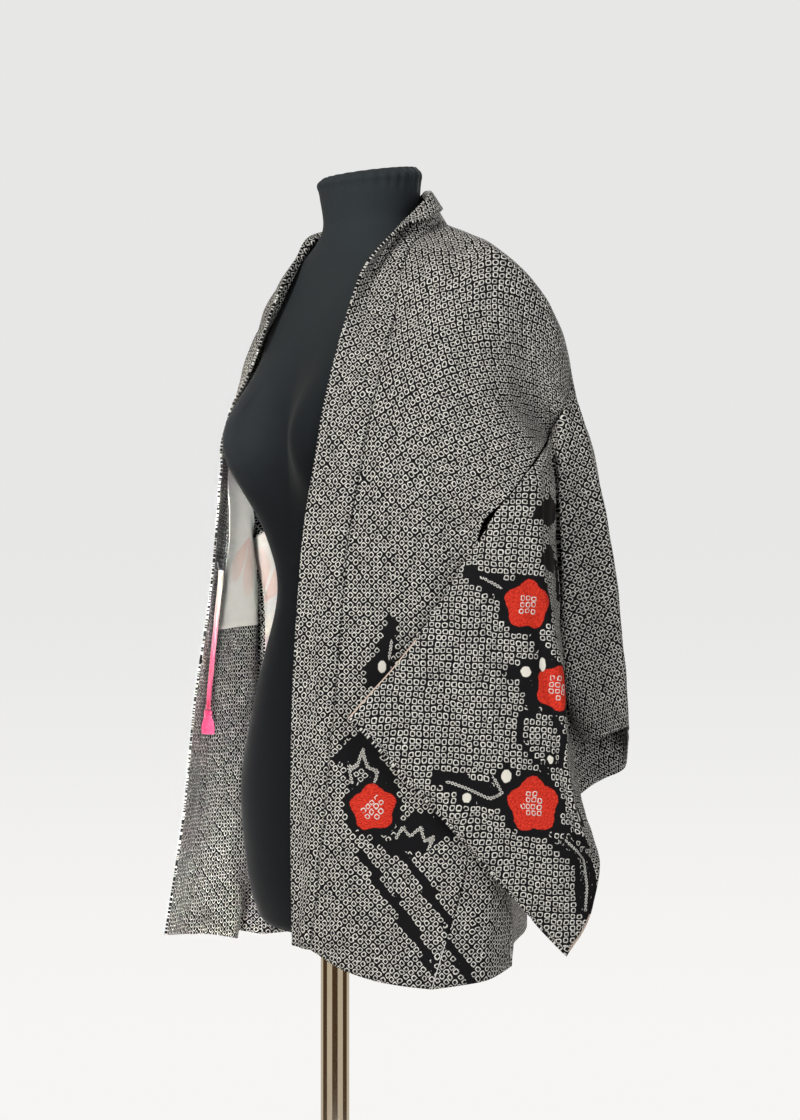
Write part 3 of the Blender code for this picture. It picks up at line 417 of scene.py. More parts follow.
FRONT_RIGHT = in_metres([    # the same, mirrored to the wearer's left
    SHOULDER,
    [(104, 14, 1392), (156, 26, 1378), (198, 44, 1347), (218, 88, 1300), (228, 130, 1236)],
    [(122, -24, 1335), (166, -8, 1315), (198, 20, 1290), (220, 66, 1255), (226, 125, 1205)],
    [(130, -44, 1262), (166, -20, 1250), (196, 8, 1236), (222, 46, 1215), (238, 90, 1180)],
    [(131, -56, 1188), (160, -30, 1182), (188, -2, 1180), (218, 24, 1170), (246, 50, 1150)],
    [(126, -60, 1120), (152, -30, 1118), (177, 4, 1116), (208, 14, 1116), (240, 22, 1117)],
    [(126, -67, 1046), (152, -34, 1048), (178, 10, 1050), (208, 22, 1050), (234, 40, 1050)],
    [(127, -77, 940), (153, -38, 940), (179, 12, 938), (210, 22, 936), (238, 42, 936)],
    [(130, -90, 810), (154, -47, 808), (177, 2, 804), (211, 12, 800), (242, 34, 798)],
    [(134, -104, 685), (151, -62, 678), (165, -22, 668), (206, -6, 664), (243, 16, 664)],
])
BACK = in_metres([           # behind the shoulder to hem
    [(58, 104, 1446), (110, 116, 1418), (156, 126, 1380), (195, 149, 1320), (216, 157, 1232)],
    [(0, 120, 1444), (60, 146, 1408), (118, 156, 1352), (168, 162, 1280), (208, 157, 1190)],
    [(0, 148, 1360), (60, 160, 1325), (120, 163, 1275), (174, 158, 1215), (210, 132, 1150)],
    [(0, 160, 1230), (60, 168, 1205), (124, 166, 1175), (182, 136, 1140), (240, 36, 1116)],
    [(0, 168, 1040), (60, 170, 1040), (120, 164, 1040), (178, 132, 1045), (230, 47, 1050)],
    [(0, 184, 890), (55, 184, 890), (112, 170, 890), (172, 126, 892), (234, 52, 890)],
    [(0, 202, 694), (60, 205, 694), (112, 168, 697), (172, 108, 698), (236, 52, 688)],
])
BACK_HEM_RIGHT = in_metres([
    [(0, 202, 694), (60, 203, 690), (112, 168, 682), (172, 108, 668), (236, 54, 656)],
])
ARMPIT_ROW_FRONT = 5    # row of a front table where the sleeve seam ends
ARMPIT_ROW_BACK = 3
NECK_ROWS_BACK = 2      # rows of BACK whose inner point is on the neck seam
print("body tables of", len(FRONT_LEFT) + len(BACK), "rows")

# %% Keeping cloth off the form
def form_tree(form):
    """The form's surface, ready to be asked for its nearest point."""
    mesh = form.data
    corners = [v.co.copy() for v in mesh.vertices]
    return BVHTree.FromPolygons(corners, [list(p.vertices) for p in mesh.polygons])


def push_out(point, tree, clear):
    """Vector that moves a point to the clearance outside the form, or zero."""
    near, outward, _, _ = tree.find_nearest(Vector(point))
    height = (Vector(point) - near).dot(outward)
    return np.array(outward) * max(0.0, clear - height)


QUAD = ((0, 0), (1, 0), (0, 1), (1, 1))
QUAD_SAMPLES = [(a, b) for a in (0.0, 0.5, 1.0) for b in (0.0, 0.5, 1.0)]


def rest_on_form(grid, tree, thickness):
    """Moves each patch of a sheet that is too near the form out of it."""
    clear = thickness / 2 + FORM_GAP
    for _ in range(SETTLE_ROUNDS):
        moves = np.zeros_like(grid)
        for r, c in np.ndindex(grid.shape[0] - 1, grid.shape[1] - 1):
            for a, b in QUAD_SAMPLES:
                weights = ((1 - a) * (1 - b), a * (1 - b), (1 - a) * b, a * b)
                point = sum(w * grid[r + i, c + j] for w, (i, j) in zip(weights, QUAD))
                move = push_out(point, tree, clear)
                for weight, (i, j) in zip(weights, QUAD):
                    corner = (r + i, c + j)
                    if weight > 0 and np.dot(move, move) > np.dot(moves[corner], moves[corner]):
                        moves[corner] = move
        grid += moves
    return grid


form_solid_tree = form_tree(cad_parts["form_torso"])
print("form surface ready for", len(QUAD_SAMPLES), "samples a patch")

# %% Body and gusset grids
def body_grid(front, back):
    """Body panel from the front hem over the shoulder to the back hem, wearer's left."""
    below = len(front) - 1 - ARMPIT_ROW_FRONT
    along = [BELOW_FRONT] * below + [ABOVE] * (ARMPIT_ROW_FRONT + ARMPIT_ROW_BACK + 1)
    along += [BELOW_BACK] * (len(back) - 1 - ARMPIT_ROW_BACK)
    grid = surface(np.concatenate([front[::-1], back]), along, [ACROSS] * 4)
    neck = body_marks(front)[2]
    grid[..., 0] = np.maximum(grid[..., 0], 0.0)
    grid[neck:, 0, 0] = 0.0
    grid[neck:, 1:, 0] = np.maximum(grid[neck:, 1:, 0], BACK_SEAM_CLEAR)
    return grid


def body_marks(front):
    """Grid rows of the front armpit, shoulder, neck back and back armpit."""
    armpit = BELOW_FRONT * (len(front) - 1 - ARMPIT_ROW_FRONT)
    shoulder = armpit + ABOVE * ARMPIT_ROW_FRONT
    neck = shoulder + ABOVE * NECK_ROWS_BACK
    back_armpit = shoulder + ABOVE * (ARMPIT_ROW_BACK + 1)
    return armpit, shoulder, neck, back_armpit


def gusset_grid(body, marks):
    """Side gusset between the edges of the front and the back, hem to armpit."""
    front_edge = body[:marks[0] + 1, -1]
    back_edge = body[marks[3]:, -1][::-1]
    middle = 0.5 * (front_edge + back_edge)
    wide = np.linalg.norm(front_edge - back_edge, axis=1, keepdims=True)
    middle[:, 0] += GUSSET_BULGE * wide[:, 0] * np.linspace(1.0, 0.0, len(middle)) ** 2
    return surface(list(zip(front_edge, middle, back_edge)), [1] * marks[0], [2, 2])

# %% [markdown]
# ## The sleeves
# A haori sleeve is one length of silk folded over the arm: its ridge runs down the
# shoulder line, and its bottom edge hangs free. Here the arm is missing, so the sleeve
# falls along the side, and its upper part caves in to one deep fold. Each row of the
# tables holds points from the ridge down to the bottom edge.

# %% Sleeve tables
# Each row starts with its share of the sleeve's width, from the armhole to the cuff. Then
# come its points in millimetres. In front they are the ridge, the lip and the valley of the
# deep fold, its crest, three points down the front, and the bottom edge. Behind, they run
# from the ridge down the back to the same edge.
SLEEVE_FRONT = [
    (0, [(222, 143, 1265), (228, 124, 1240), (204, 127, 1216), (252, 76, 1194), (258, 37, 1156),
     (245, 10, 1117), (225, -52, 1017), (190, -108, 940)]),
    (0.07, [(227, 149, 1239), (229, 124, 1227), (223, 115, 1201), (268, 72, 1167), (268, 42, 1132),
     (261, 12, 1095), (239, -41, 1003), (201, -97, 924)]),
    (0.23, [(234, 160, 1187), (231, 119, 1172), (219, 117, 1141), (276, 69, 1090), (278, 43, 1059),
     (274, 20, 1027), (256, -25, 961), (220, -71, 888)]),
    (0.35, [(240, 165, 1144), (231, 119, 1130), (215, 122, 1090), (284, 70, 1031), (286, 48, 1007),
     (285, 28, 982), (268, -12, 922), (234, -49, 860)]),
    (0.51, [(247, 171, 1090), (232, 121, 1075), (208, 131, 1026), (296, 73, 964), (298, 55, 944),
     (295, 40, 924), (281, 7, 875), (251, -21, 824)]),
    (0.62, [(252, 174, 1050), (233, 123, 1035), (210, 134, 982), (300, 73, 910), (302, 59, 896),
     (300, 47, 880), (289, 22, 838), (262, 1, 796)]),
    (0.74, [(256, 177, 1009), (236, 127, 993), (223, 130, 941), (306, 78, 859), (308, 68, 847),
     (307, 58, 834), (297, 36, 803), (274, 23, 768)]),
    (0.85, [(262, 179, 973), (239, 132, 955), (229, 131, 915), (314, 89, 820), (315, 81, 809),
     (314, 72, 798), (305, 55, 770), (284, 43, 742)]),
    (1, [(270, 176, 922), (269, 140, 912), (235, 135, 896), (249, 129, 849), (289, 116, 814),
     (311, 103, 786), (311, 87, 736), (299, 73, 706)]),
]
SLEEVE_BACK = [
    (0, [(222, 143, 1265), (216, 157, 1232), (208, 157, 1190), (210, 132, 1150), (240, 36, 1116),
     (250, 4, 1068), (228, -40, 1012), (190, -108, 940)]),
    (0.12, [(229, 152, 1222), (214, 178, 1190), (202, 176, 1142), (200, 140, 1095), (250, 44, 1070),
     (250, 10, 1022), (236, -24, 975), (206, -89, 916)]),
    (0.5, [(247, 171, 1093), (218, 196, 1065), (193, 182, 1015), (196, 142, 970), (264, 60, 930),
     (270, 38, 898), (268, 16, 868), (250, -23, 827)]),
    (0.75, [(256, 177, 1005), (232, 200, 985), (212, 196, 945), (207, 156, 915), (256, 92, 885),
     (279, 74, 860), (288, 56, 830), (276, 26, 765)]),
    (1, [(270, 176, 922), (246, 196, 900), (242, 195, 877), (238, 166, 866), (249, 129, 849),
     (289, 116, 814), (311, 103, 786), (299, 73, 706)]),
]
LIP, VALLEY = 1, 2      # points of a front row
RIGHT_FURI_CORNER_MOVE = (0.030, 0.088, -0.060)
RIGHT_CUFF_CORNER_MOVE = (0.002, 0.085, -0.050)
RIGHT_VALLEY_MOVE = (0.034, -0.024, 0.0)
RIGHT_LIP_MOVE = (0.012, 0.008, -0.004)
RIGHT_CUFF_TOP_MOVE = (0.000, 0.018, -0.012)
RIGHT_RISE = 0.06       # share of the sleeve's width over which its fold starts to move
ARMPIT_FALL = 0.46      # of the way down the sleeve to where its sewn edge ends
SLEEVE_PLACES = np.linspace(0.0, 1.0, 15) ** 1.15
print("sleeve read at", len(SLEEVE_PLACES), "places from armhole to cuff")

# %% Sleeve grids
def weave_rows(table, places):
    """Rows of a sleeve table, read at the asked shares of the sleeve's width."""
    shares, points = zip(*table)
    return spline(in_metres(points), np.interp(places, shares, np.arange(len(table))))


def lay_behind(edge, behind):
    """Points that follow an edge at the gap of two layers, on the hidden layer's side."""
    return edge + unit(behind - edge) * LAYER_GAP


def right_sleeve_move(grid, top, bottom):
    """Shift that lets a sleeve hang from its seam, growing to its two lower corners."""
    fall = np.clip((top - grid[..., 2]) / (top - bottom), 0.0, 1.0)[..., None]
    free = np.clip((fall - ARMPIT_FALL) / (1 - ARMPIT_FALL), 0.0, 1.0)
    w = SLEEVE_PLACES[:, None, None]
    low = free * (1 - w) * np.array(RIGHT_FURI_CORNER_MOVE)
    low += fall * w * np.array(RIGHT_CUFF_CORNER_MOVE)
    return low + (1 - fall) * w * np.array(RIGHT_CUFF_TOP_MOVE)


def sleeve_grid(body, marks, moved):
    """Sleeve from its front bottom edge up over the ridge and down to its back."""
    front = weave_rows(SLEEVE_FRONT, SLEEVE_PLACES)
    if moved:
        rise = np.minimum(SLEEVE_PLACES / RIGHT_RISE, 1.0)[:, None]
        front[:, VALLEY] += rise * np.array(RIGHT_VALLEY_MOVE)
        front[:, LIP] += rise * np.array(RIGHT_LIP_MOVE)
    back = weave_rows(SLEEVE_BACK, SLEEVE_PLACES)
    front = spline_across(front, stations([ABOVE] * 5 + [BELOW_SLEEVE] * 2))
    back = spline_across(back, stations([ABOVE] * 4 + [BELOW_SLEEVE + 1] * 3))
    sewn_front = ABOVE * ARMPIT_ROW_FRONT
    sewn_back = ABOVE * (ARMPIT_ROW_BACK + 1)
    front[0, :sewn_front + 1] = body[marks[0]:marks[1] + 1, -1][::-1]
    back[0, :sewn_back + 1] = body[marks[1]:marks[3] + 1, -1]
    joined = BELOW_SLEEVE * 2 + ABOVE * 2 + 1
    back[-1, -joined:] = lay_behind(front[-1, -joined:], back[-2, -joined:])
    back[:, -1] = lay_behind(front[:, -1], back[:, -3])
    if moved:
        top, bottom = front[:, :1, 2].copy(), front[:, -1:, 2].copy()
        front += right_sleeve_move(front, top, bottom)
        back += right_sleeve_move(back, top, bottom)
    fold = 0.5 * (front[:, -1] + back[:, -1])
    fold += unit(fold - 0.5 * (front[:, -2] + back[:, -2])) * LAYER_GAP / 2
    return np.concatenate([front[:, ::-1], back[:, 1:], fold[:, None]], axis=1)

# %% [markdown]
# ## The collar
# The collar is one long band, folded lengthwise in four layers. It lies flat down both
# fronts, and behind the neck it stands up and rolls over outwards. Each line across it
# is bent by an opening angle that grows from nothing on the chest to a full half turn
# at the back of the neck.

# %% Collar tables
FLAT_STEP = 0.12        # share of the flat collar's width in each step over its fold line
FLAT_LAST = 0.15        # and in the strip beyond them
ROLL_STEP = 0.0037      # length of those steps where the collar is folded over
FLAP = 0.022            # what hangs down outside the stand behind the neck
ROLL_RATE = 0.8         # how the roll opens as the fold grows
COLLAR_UNITS = (1000, 1000, 1000, 1)    # a row is its edge in millimetres, and its fold
COLLAR_LEFT = [
    (101, -117, 707, 0), (100, -118, 830, 0), (101, -117, 951, 0), (103, -112, 1050, 0),
    (104, -105, 1125, 0), (106, -93, 1195, 0), (103, -80, 1251, 0), (98, -52, 1323, 0.1),
    (91, 2, 1407, 0.65), (79, 61, 1467, 0.9), (42, 83, 1478, 1), (0, 103, 1480, 1),
]
COLLAR_RIGHT = [
    (99, -150, 693, 0), (93, -131, 820, 0), (90, -119, 941, 0), (85, -104, 1047, 0),
    (84, -95, 1133, 0), (87, -88, 1190, 0), (88, -66, 1257, 0), (73, -34, 1338, 0.1),
    (62, 10, 1408, 0.5), (68, 62, 1462, 0.9), (42, 83, 1478, 1), (0, 103, 1480, 1),
]
print("collar tables of", len(COLLAR_LEFT), "rows a side")

# %% Collar and seam helpers
def collar_line(seam, edge, fold):
    """Line across the collar to the height of its edge, flat at fold 0, rolled over at 1."""
    band = edge - seam
    width = np.linalg.norm(band)
    up = band / width
    out = np.array([edge[0], edge[1] - NECK_AXIS_Y, 0.0])
    out -= up * np.dot(out, up)
    out /= np.linalg.norm(out)
    step = FLAT_STEP * width * (1 - fold) + ROLL_STEP * fold
    last = FLAT_LAST * width * (1 - fold) + FLAP * fold
    lengths = np.array([step, step, last])
    turns = math.pi * fold**ROLL_RATE * np.array([1 / 3, 2 / 3, 1.0])
    climb = np.cumsum(lengths * np.cos(turns))[:, None]
    reach = np.cumsum(lengths * np.sin(turns))[:, None]
    top = seam + up * (width - climb.max())
    return [seam, 0.5 * (seam + top) + out * COLLAR_BULGE, top, *(top + up * climb + out * reach)]


def collar_half(pieces, table, front_rows):
    """Half of the collar, hem to centre back, across from the seam to the free edge."""
    body, _, _, marks = pieces
    seam = body[:marks[2] + 1, 0]
    along = [BELOW_FRONT] * (front_rows - 1 - ARMPIT_ROW_FRONT)
    along += [ABOVE] * (ARMPIT_ROW_FRONT + NECK_ROWS_BACK)
    lines = spline(np.array(table) / COLLAR_UNITS, stations(along))
    folds = np.clip(lines[:, 3], 0, 1)
    return np.array([collar_line(*values) for values in zip(seam, lines[:, :3], folds)])


def draw_in(grid, axis, end, distance):
    """Moves one edge of a grid back over the cloth, to leave a gap at its seam.

    Where the cloth runs off at a slant, the edge moves further to leave the same gap.
    """
    edge, inner = (0, 1) if end == 0 else (-1, -2)
    lines = np.moveaxis(grid, axis, 0)
    step = lines[inner] - lines[edge]
    length = np.maximum(np.linalg.norm(step, axis=-1, keepdims=True), 1e-9)
    along = np.gradient(lines[edge], axis=0)
    along /= np.maximum(np.linalg.norm(along, axis=-1, keepdims=True), 1e-9)
    slant = np.linalg.norm(np.cross(step / length, along), axis=-1, keepdims=True)
    reach = distance / np.maximum(slant, LEAST_SLANT)
    lines[edge] += step / length * np.minimum(reach, MOST_OF_A_STEP * length)


def seam_relief(away_a, away_b, thickness):
    """How far back two edges stand at each point of a seam, so that their walls clear.

    The sharper the turn from one piece to the other, the more their inner corners need.
    """
    lengths = np.linalg.norm(away_a, axis=-1) * np.linalg.norm(away_b, axis=-1)
    cosine = np.sum(away_a * away_b, axis=-1) / np.maximum(lengths, 1e-12)
    turn = math.pi - np.arccos(np.clip(cosine, -1.0, 1.0))
    relief = SEAM_GAP / 2 + thickness / 2 * np.minimum(np.tan(turn / 2), MOST_RELIEF)
    return relief[:, None]


def flip(grid):
    """Mirrors a grid to the wearer's right and keeps its outer face outside."""
    return grid[:, ::-1] * np.array([-1.0, 1.0, 1.0])


def flip_rows(grid):
    """Mirrors the right half of the collar on to the left, hem first."""
    return grid[::-1] * np.array([-1.0, 1.0, 1.0])


def collar_relief(body, marks, half):
    """How far back the collar and its body panel stand from each other."""
    seam = slice(0, marks[2] + 1)
    return seam_relief(body[seam, 2] - body[seam, 1], half[:, 2] - half[:, 1], COLLAR_CLOTH)


def sleeve_columns(sewn_front):
    """Grid column of the sleeve's ridge, counted from the front bottom edge."""
    return 2 * BELOW_SLEEVE + sewn_front


def stand_back(body, sleeve, gusset, marks, collar):
    """Draws every sewn edge back over its own cloth, by what its seam's turn needs."""
    armpit, shoulder, neck, back_armpit = marks
    inward = body[:, -2] - body[:, -1]
    ridge = sleeve_columns(shoulder - armpit)
    row = sleeve[1] - sleeve[0]
    outer = np.zeros((len(body), 1))
    front_away = gusset[:, 1] - gusset[:, 0]
    back_away = (gusset[:, -2] - gusset[:, -1])[::-1]
    outer[:armpit + 1] = seam_relief(inward[:armpit + 1], front_away, CLOTH)
    outer[back_armpit:] = seam_relief(inward[back_armpit:], back_away, CLOTH)
    sewn = slice(armpit, back_armpit + 1)
    columns = slice(ridge - (shoulder - armpit), ridge + back_armpit - shoulder + 1)
    round_armhole = ARMHOLE_RELIEF * seam_relief(inward[sewn], row[columns], CLOTH)
    round_armhole[:2] += CORNER_RELIEF
    round_armhole[-2:] += CORNER_RELIEF
    outer[sewn] = np.maximum(outer[sewn], round_armhole)
    inner = np.full((len(body), 1), SEAM_GAP)
    inner[:neck + 1] = collar_relief(body, marks, collar)
    away = body[neck:, 1] - body[neck:, 0]
    inner[neck:] = np.maximum(inner[neck:], seam_relief(away, away * np.array([-1, 1, 1]), CLOTH))
    edge = np.full((sleeve.shape[1], 1), SEAM_GAP / 2)
    edge[columns] = round_armhole
    draw_in(body, 1, 0, inner)
    draw_in(body, 1, -1, outer)
    draw_in(sleeve, 0, 0, edge)
    draw_in(gusset, 1, 0, outer[:armpit + 1])
    draw_in(gusset, 1, -1, outer[back_armpit:][::-1])
    draw_in(gusset, 0, -1, 2 * SEAM_GAP + CLOTH)

# %% All the panels, one side after the other
sides = {}
for side, front, moved in (("left", FRONT_LEFT, False), ("right", FRONT_RIGHT, True)):
    back = np.concatenate([BACK[:-1], BACK_HEM_RIGHT]) if moved else BACK
    body = rest_on_form(body_grid(front, back), form_solid_tree, CLOTH)
    marks = body_marks(front)
    sides[side] = (body, sleeve_grid(body, marks, moved), gusset_grid(body, marks), marks)
left = collar_half(sides["left"], COLLAR_LEFT, len(FRONT_LEFT))
right = flip_rows(collar_half(sides["right"], COLLAR_RIGHT, len(FRONT_RIGHT)))
collar_grid = rest_on_form(np.concatenate([left, right[1:]]), form_solid_tree, COLLAR_CLOTH)
halves = {"left": collar_grid[:len(left)], "right": flip_rows(collar_grid[len(left) - 1:])}
for side, (body, sleeve, gusset, marks) in sides.items():
    stand_back(body, sleeve, gusset, marks, halves[side])
reliefs = [collar_relief(sides[s][0], sides[s][3], halves[s]) for s in sides]
draw_in(collar_grid, 1, 0, np.concatenate([reliefs[0], reliefs[1][::-1][1:]]))
print("panels ready:", [g.shape[:2] for g in sides["left"][:3]], "collar", collar_grid.shape[:2])

# %% [markdown]
# ## Cloth coordinates
# The dyed dots sit square to the bolt of silk and not to the folds, so the pattern has
# to be laid on the flat cut. Each cell of a curved grid is treated as a small stiff
# card. The cards are turned to fit their neighbours, over and over, until all of them
# lie flat side by side. The result, in metres, becomes the piece's cloth map.

# %% Laying a sheet out flat
FLATTEN_ROUNDS = 1200
CELL_CORNERS = [(0, 0), (0, 1), (1, 1), (1, 0)]     # row and column of each corner of a cell


def corner(values, step):
    """What every cell of a grid has at one of its corners."""
    rows, columns = values.shape[:2]
    return values[step[0]:rows - 1 + step[0], step[1]:columns - 1 + step[1]]


def flat_cut(grid, turn=0.0, start=(0.0, 0.0)):
    """Flat layout of a curved grid, across and along the cloth, in metres."""
    cells = np.stack([corner(grid, step) for step in CELL_CORNERS], axis=2)
    cells -= cells.mean(axis=2, keepdims=True)
    across = cells[:, :, 1] + cells[:, :, 2] - cells[:, :, 0] - cells[:, :, 3]
    facing = np.cross(cells[:, :, 2] - cells[:, :, 0], cells[:, :, 3] - cells[:, :, 1])
    along = np.cross(facing, across)
    across, along = unit(across), unit(along)
    own = ((cells * across[:, :, None]).sum(axis=-1)
           + 1j * (cells * along[:, :, None]).sum(axis=-1))
    place = np.zeros(grid.shape[:2], complex)
    place[:, 1:] = np.cumsum(np.linalg.norm(np.diff(grid, axis=1), axis=2), axis=1)
    place[1:] += 1j * np.cumsum(np.linalg.norm(np.diff(grid, axis=0), axis=2).mean(axis=1))[:, None]
    shared = np.zeros(place.shape)
    for step in CELL_CORNERS:
        corner(shared, step)[...] += 1
    for _ in range(FLATTEN_ROUNDS):
        seen = np.stack([corner(place, step) for step in CELL_CORNERS], axis=2)
        middle = seen.mean(axis=2, keepdims=True)
        way = ((seen - middle) * own.conj()).sum(axis=2, keepdims=True)
        wanted = middle + own * way / np.maximum(np.abs(way), 1e-12)
        place = np.zeros_like(place)
        for k, step in enumerate(CELL_CORNERS):
            corner(place, step)[...] += wanted[:, :, k]
        place /= shared
    place *= np.exp(1j * turn)
    flat = np.stack([place.real, place.imag], axis=-1)
    return flat - flat.reshape(-1, 2).min(axis=0) + start


def refine(grid, parts_along, parts_across, closed=False):
    """Cuts each interval of a grid into equal parts, on the smooth surface through it."""
    rows, columns = grid.shape[:2]
    if closed:
        grid = np.concatenate([grid[:, -2:], grid, grid[:, :2]], axis=1)
        places = np.arange(2 * parts_across, (2 + columns) * parts_across) / parts_across
    else:
        places = np.arange((columns - 1) * parts_across + 1) / parts_across
    down = np.arange((rows - 1) * parts_along + 1) / parts_along
    return spline(spline_across(grid, places), down)


gusset_flat = flat_cut(sides["left"][2])
print("the left gusset lies flat in", gusset_flat.reshape(-1, 2).max(axis=0).round(3).tolist())

# %% [markdown]
# ## Folds pressed in
# The large folds are in the tables. What is left are the soft drag lines that run from
# the armpit, the slack of the hem and the sleeve, and the small unevenness of tied
# silk, which never lies quite smooth. Each fold is a soft trough with a low ridge
# beside it. Its place is given on the flat cut, so it stays in the cloth.

# %% Fold tables
Fold = namedtuple("Fold", "u0 v0 u1 v1 bow width depth")
BODY_FOLDS = [
    Fold(0.157, 0.507, 0.222, 0.438, 0.004, 0.009, -0.0050),    # from the armpit, up the chest
    Fold(0.133, 0.690, 0.205, 0.502, 0.012, 0.020, -0.0035),    # turn from the front to the side
    Fold(0.060, 0.420, 0.085, 0.030, 0.010, 0.022, 0.0030),     # slack down the front
    Fold(0.150, 0.330, 0.165, 0.015, -0.008, 0.020, -0.0035),   # wave of the front hem
    Fold(0.040, 1.000, 0.075, 1.485, 0.012, 0.024, -0.0040),    # folds down the back
    Fold(0.150, 1.060, 0.165, 1.490, -0.010, 0.022, 0.0040),
    Fold(0.255, 1.080, 0.225, 1.470, 0.010, 0.018, -0.0040),
    Fold(0.060, 0.930, 0.240, 1.010, -0.012, 0.018, -0.0030),   # drag across the shoulder blade
]
SLEEVE_FOLDS = [
    Fold(0.352, 0.045, 0.314, 0.220, -0.004, 0.010, -0.0130),   # bottom of the deep crease
    Fold(0.326, 0.165, 0.258, 0.320, -0.004, 0.010, -0.0110),   # and on down
    Fold(0.314, 0.030, 0.225, 0.160, 0.000, 0.010, -0.0065),    # its soft near edge
    Fold(0.215, 0.060, 0.110, 0.270, 0.012, 0.018, -0.0030),    # slack below the armpit
    Fold(0.110, 0.100, 0.020, 0.330, 0.014, 0.016, -0.0028),    # across the hanging bag
    Fold(0.160, 0.300, 0.050, 0.395, 0.006, 0.013, -0.0030),    # towards the lower cuff corner
    Fold(0.420, 0.060, 0.400, 0.300, 0.010, 0.016, 0.0025),     # along the ridge
    Fold(0.600, 0.080, 0.700, 0.330, -0.012, 0.017, -0.0032),   # down the back of the sleeve
    Fold(0.520, 0.200, 0.640, 0.380, 0.008, 0.014, -0.0028),
    Fold(0.760, 0.150, 0.790, 0.360, 0.006, 0.012, 0.0020),
]
RUMPLE = [  # small waves: waves per metre across and along, phase, height
    (9.0, 4.0, 0.3, 0.00050), (-6.0, 11.0, 1.9, 0.00045), (17.0, -8.0, 4.1, 0.00025),
    (-21.0, -15.0, 2.2, 0.00018), (5.0, 26.0, 5.0, 0.00015), (31.0, 7.0, 0.9, 0.00010),
]


def press_folds(grid, flat, folds, facing=1.0):
    """Lifts the sheet's outer face by its folds and its small rumple."""
    lift = np.zeros(grid.shape[:2])
    for across, along, phase, height in RUMPLE:
        turns = across * flat[..., 0] + along * flat[..., 1]
        lift += height * np.sin(2 * math.pi * turns + phase)
    for fold in folds:
        start = np.array([fold.u0, fold.v0])
        line = np.array([fold.u1, fold.v1]) - start
        length = np.linalg.norm(line)
        line /= length
        side = np.array([-line[1], line[0]])
        t = ((flat - start) @ line) / length
        inside = np.clip(t, 0, 1)
        off = (flat - start) @ side - fold.bow * 4 * inside * (1 - inside)
        fade = np.sin(math.pi * inside) ** 0.6
        trough = np.exp(-(off / fold.width) ** 2)
        ridge = 0.4 * np.exp(-((off - 1.9 * fold.width) / (1.3 * fold.width)) ** 2)
        lift += fold.depth * fade * (trough - ridge)
    return grid + facing * normals(grid) * lift[..., None]


print(len(BODY_FOLDS), "folds in a body panel,", len(SLEEVE_FOLDS), "in a sleeve")

# %% [markdown]
# ## The dyed design
# The cloth is kanoko shibori: thousands of tiny tied dots leave pale rings on a black
# ground. A branch of plum blossom crosses it. Along the branch the dots are left out,
# the blossoms are dyed vermilion with a few rings in the middle, the buds are left
# white, and leaves are drawn with chains of very small rings. The design is kept in
# short tables on the flat cut, and each point of the cloth stores how far it is from
# each part of the design.

# %% Design tables
Blossom = namedtuple("Blossom", "u v radius turn")
Patch = namedtuple("Patch", "u v half_u half_v turn")       # a bud or a bare patch
Branch = namedtuple("Branch", "width points")
Design = namedtuple("Design", "blossoms buds patches branches veins")
PLAIN = Design([], [], [], [], [])

BLOSSOM_EDGE = 0.0040   # bare ground round a blossom
VEIN_EDGE = 0.0042      # and beside a chain of small rings
HEART = 0.42            # share of a blossom's radius that is tied with rings
BUD_EDGE = 0.005
NOWHERE = 1.0           # metres, further than any cloth reaches
NO_BLOOM = 9.0          # the same, counted in blossoms
NO_BUD = -0.05
SLOPE_STEP = 0.0005     # over which the edge of the bare ground is measured


def own_axes(points, mark):
    """Where points lie as seen from a turned mark's middle."""
    away = points - (mark.u, mark.v)
    cosine, sine = math.cos(math.radians(mark.turn)), math.sin(math.radians(mark.turn))
    return np.stack([away[..., 0] * cosine + away[..., 1] * sine,
                     -away[..., 0] * sine + away[..., 1] * cosine], axis=-1)


def patch_depth(points, patch):
    """How deep points are inside a rounded patch, in metres, and negative outside it."""
    share = np.linalg.norm(own_axes(points, patch) / (patch.half_u, patch.half_v), axis=-1)
    return (1 - share) * min(patch.half_u, patch.half_v)


def line_place(points, line):
    """Distance to a broken line, the same with a sign for its side, and the length along it."""
    line = np.asarray(line, float)
    nearest = np.full(points.shape[:-1], NOWHERE)
    signed = np.full(points.shape[:-1], NOWHERE)
    along = np.zeros(points.shape[:-1])
    before = 0.0
    for start, end in zip(line, line[1:]):
        step = end - start
        length = np.linalg.norm(step)
        step = step / length
        t = np.clip((points - start) @ step, 0, length)
        away = points - (start + t[..., None] * step)
        distance = np.linalg.norm(away, axis=-1)
        closer = distance < nearest
        side = np.where(away[..., 0] * -step[1] + away[..., 1] * step[0] < 0, -1, 1)
        signed = np.where(closer, distance * side, signed)
        along = np.where(closer, before + t, along)
        nearest = np.minimum(nearest, distance)
        before += length
    return nearest, signed, along


def bare_depth(points, design):
    """How deep points are in the ground that is left without dots."""
    buds = [bud._replace(half_u=bud.half_u + BUD_EDGE, half_v=bud.half_v + BUD_EDGE)
            for bud in design.buds]
    blooms = [(blossom.radius, np.linalg.norm(points - (blossom.u, blossom.v), axis=-1))
              for blossom in design.blossoms]
    depth = np.max([np.full(points.shape[:-1], -NOWHERE),
                    *[patch_depth(points, patch) for patch in design.patches + buds],
                    *[width / 2 - line_place(points, line)[0] for width, line in design.branches],
                    *[VEIN_EDGE - line_place(points, line)[0] for line in design.veins],
                    *[radius + BLOSSOM_EDGE - away for radius, away in blooms]], axis=0)
    return np.min([depth, *[away - radius * HEART for radius, away in blooms]], axis=0)


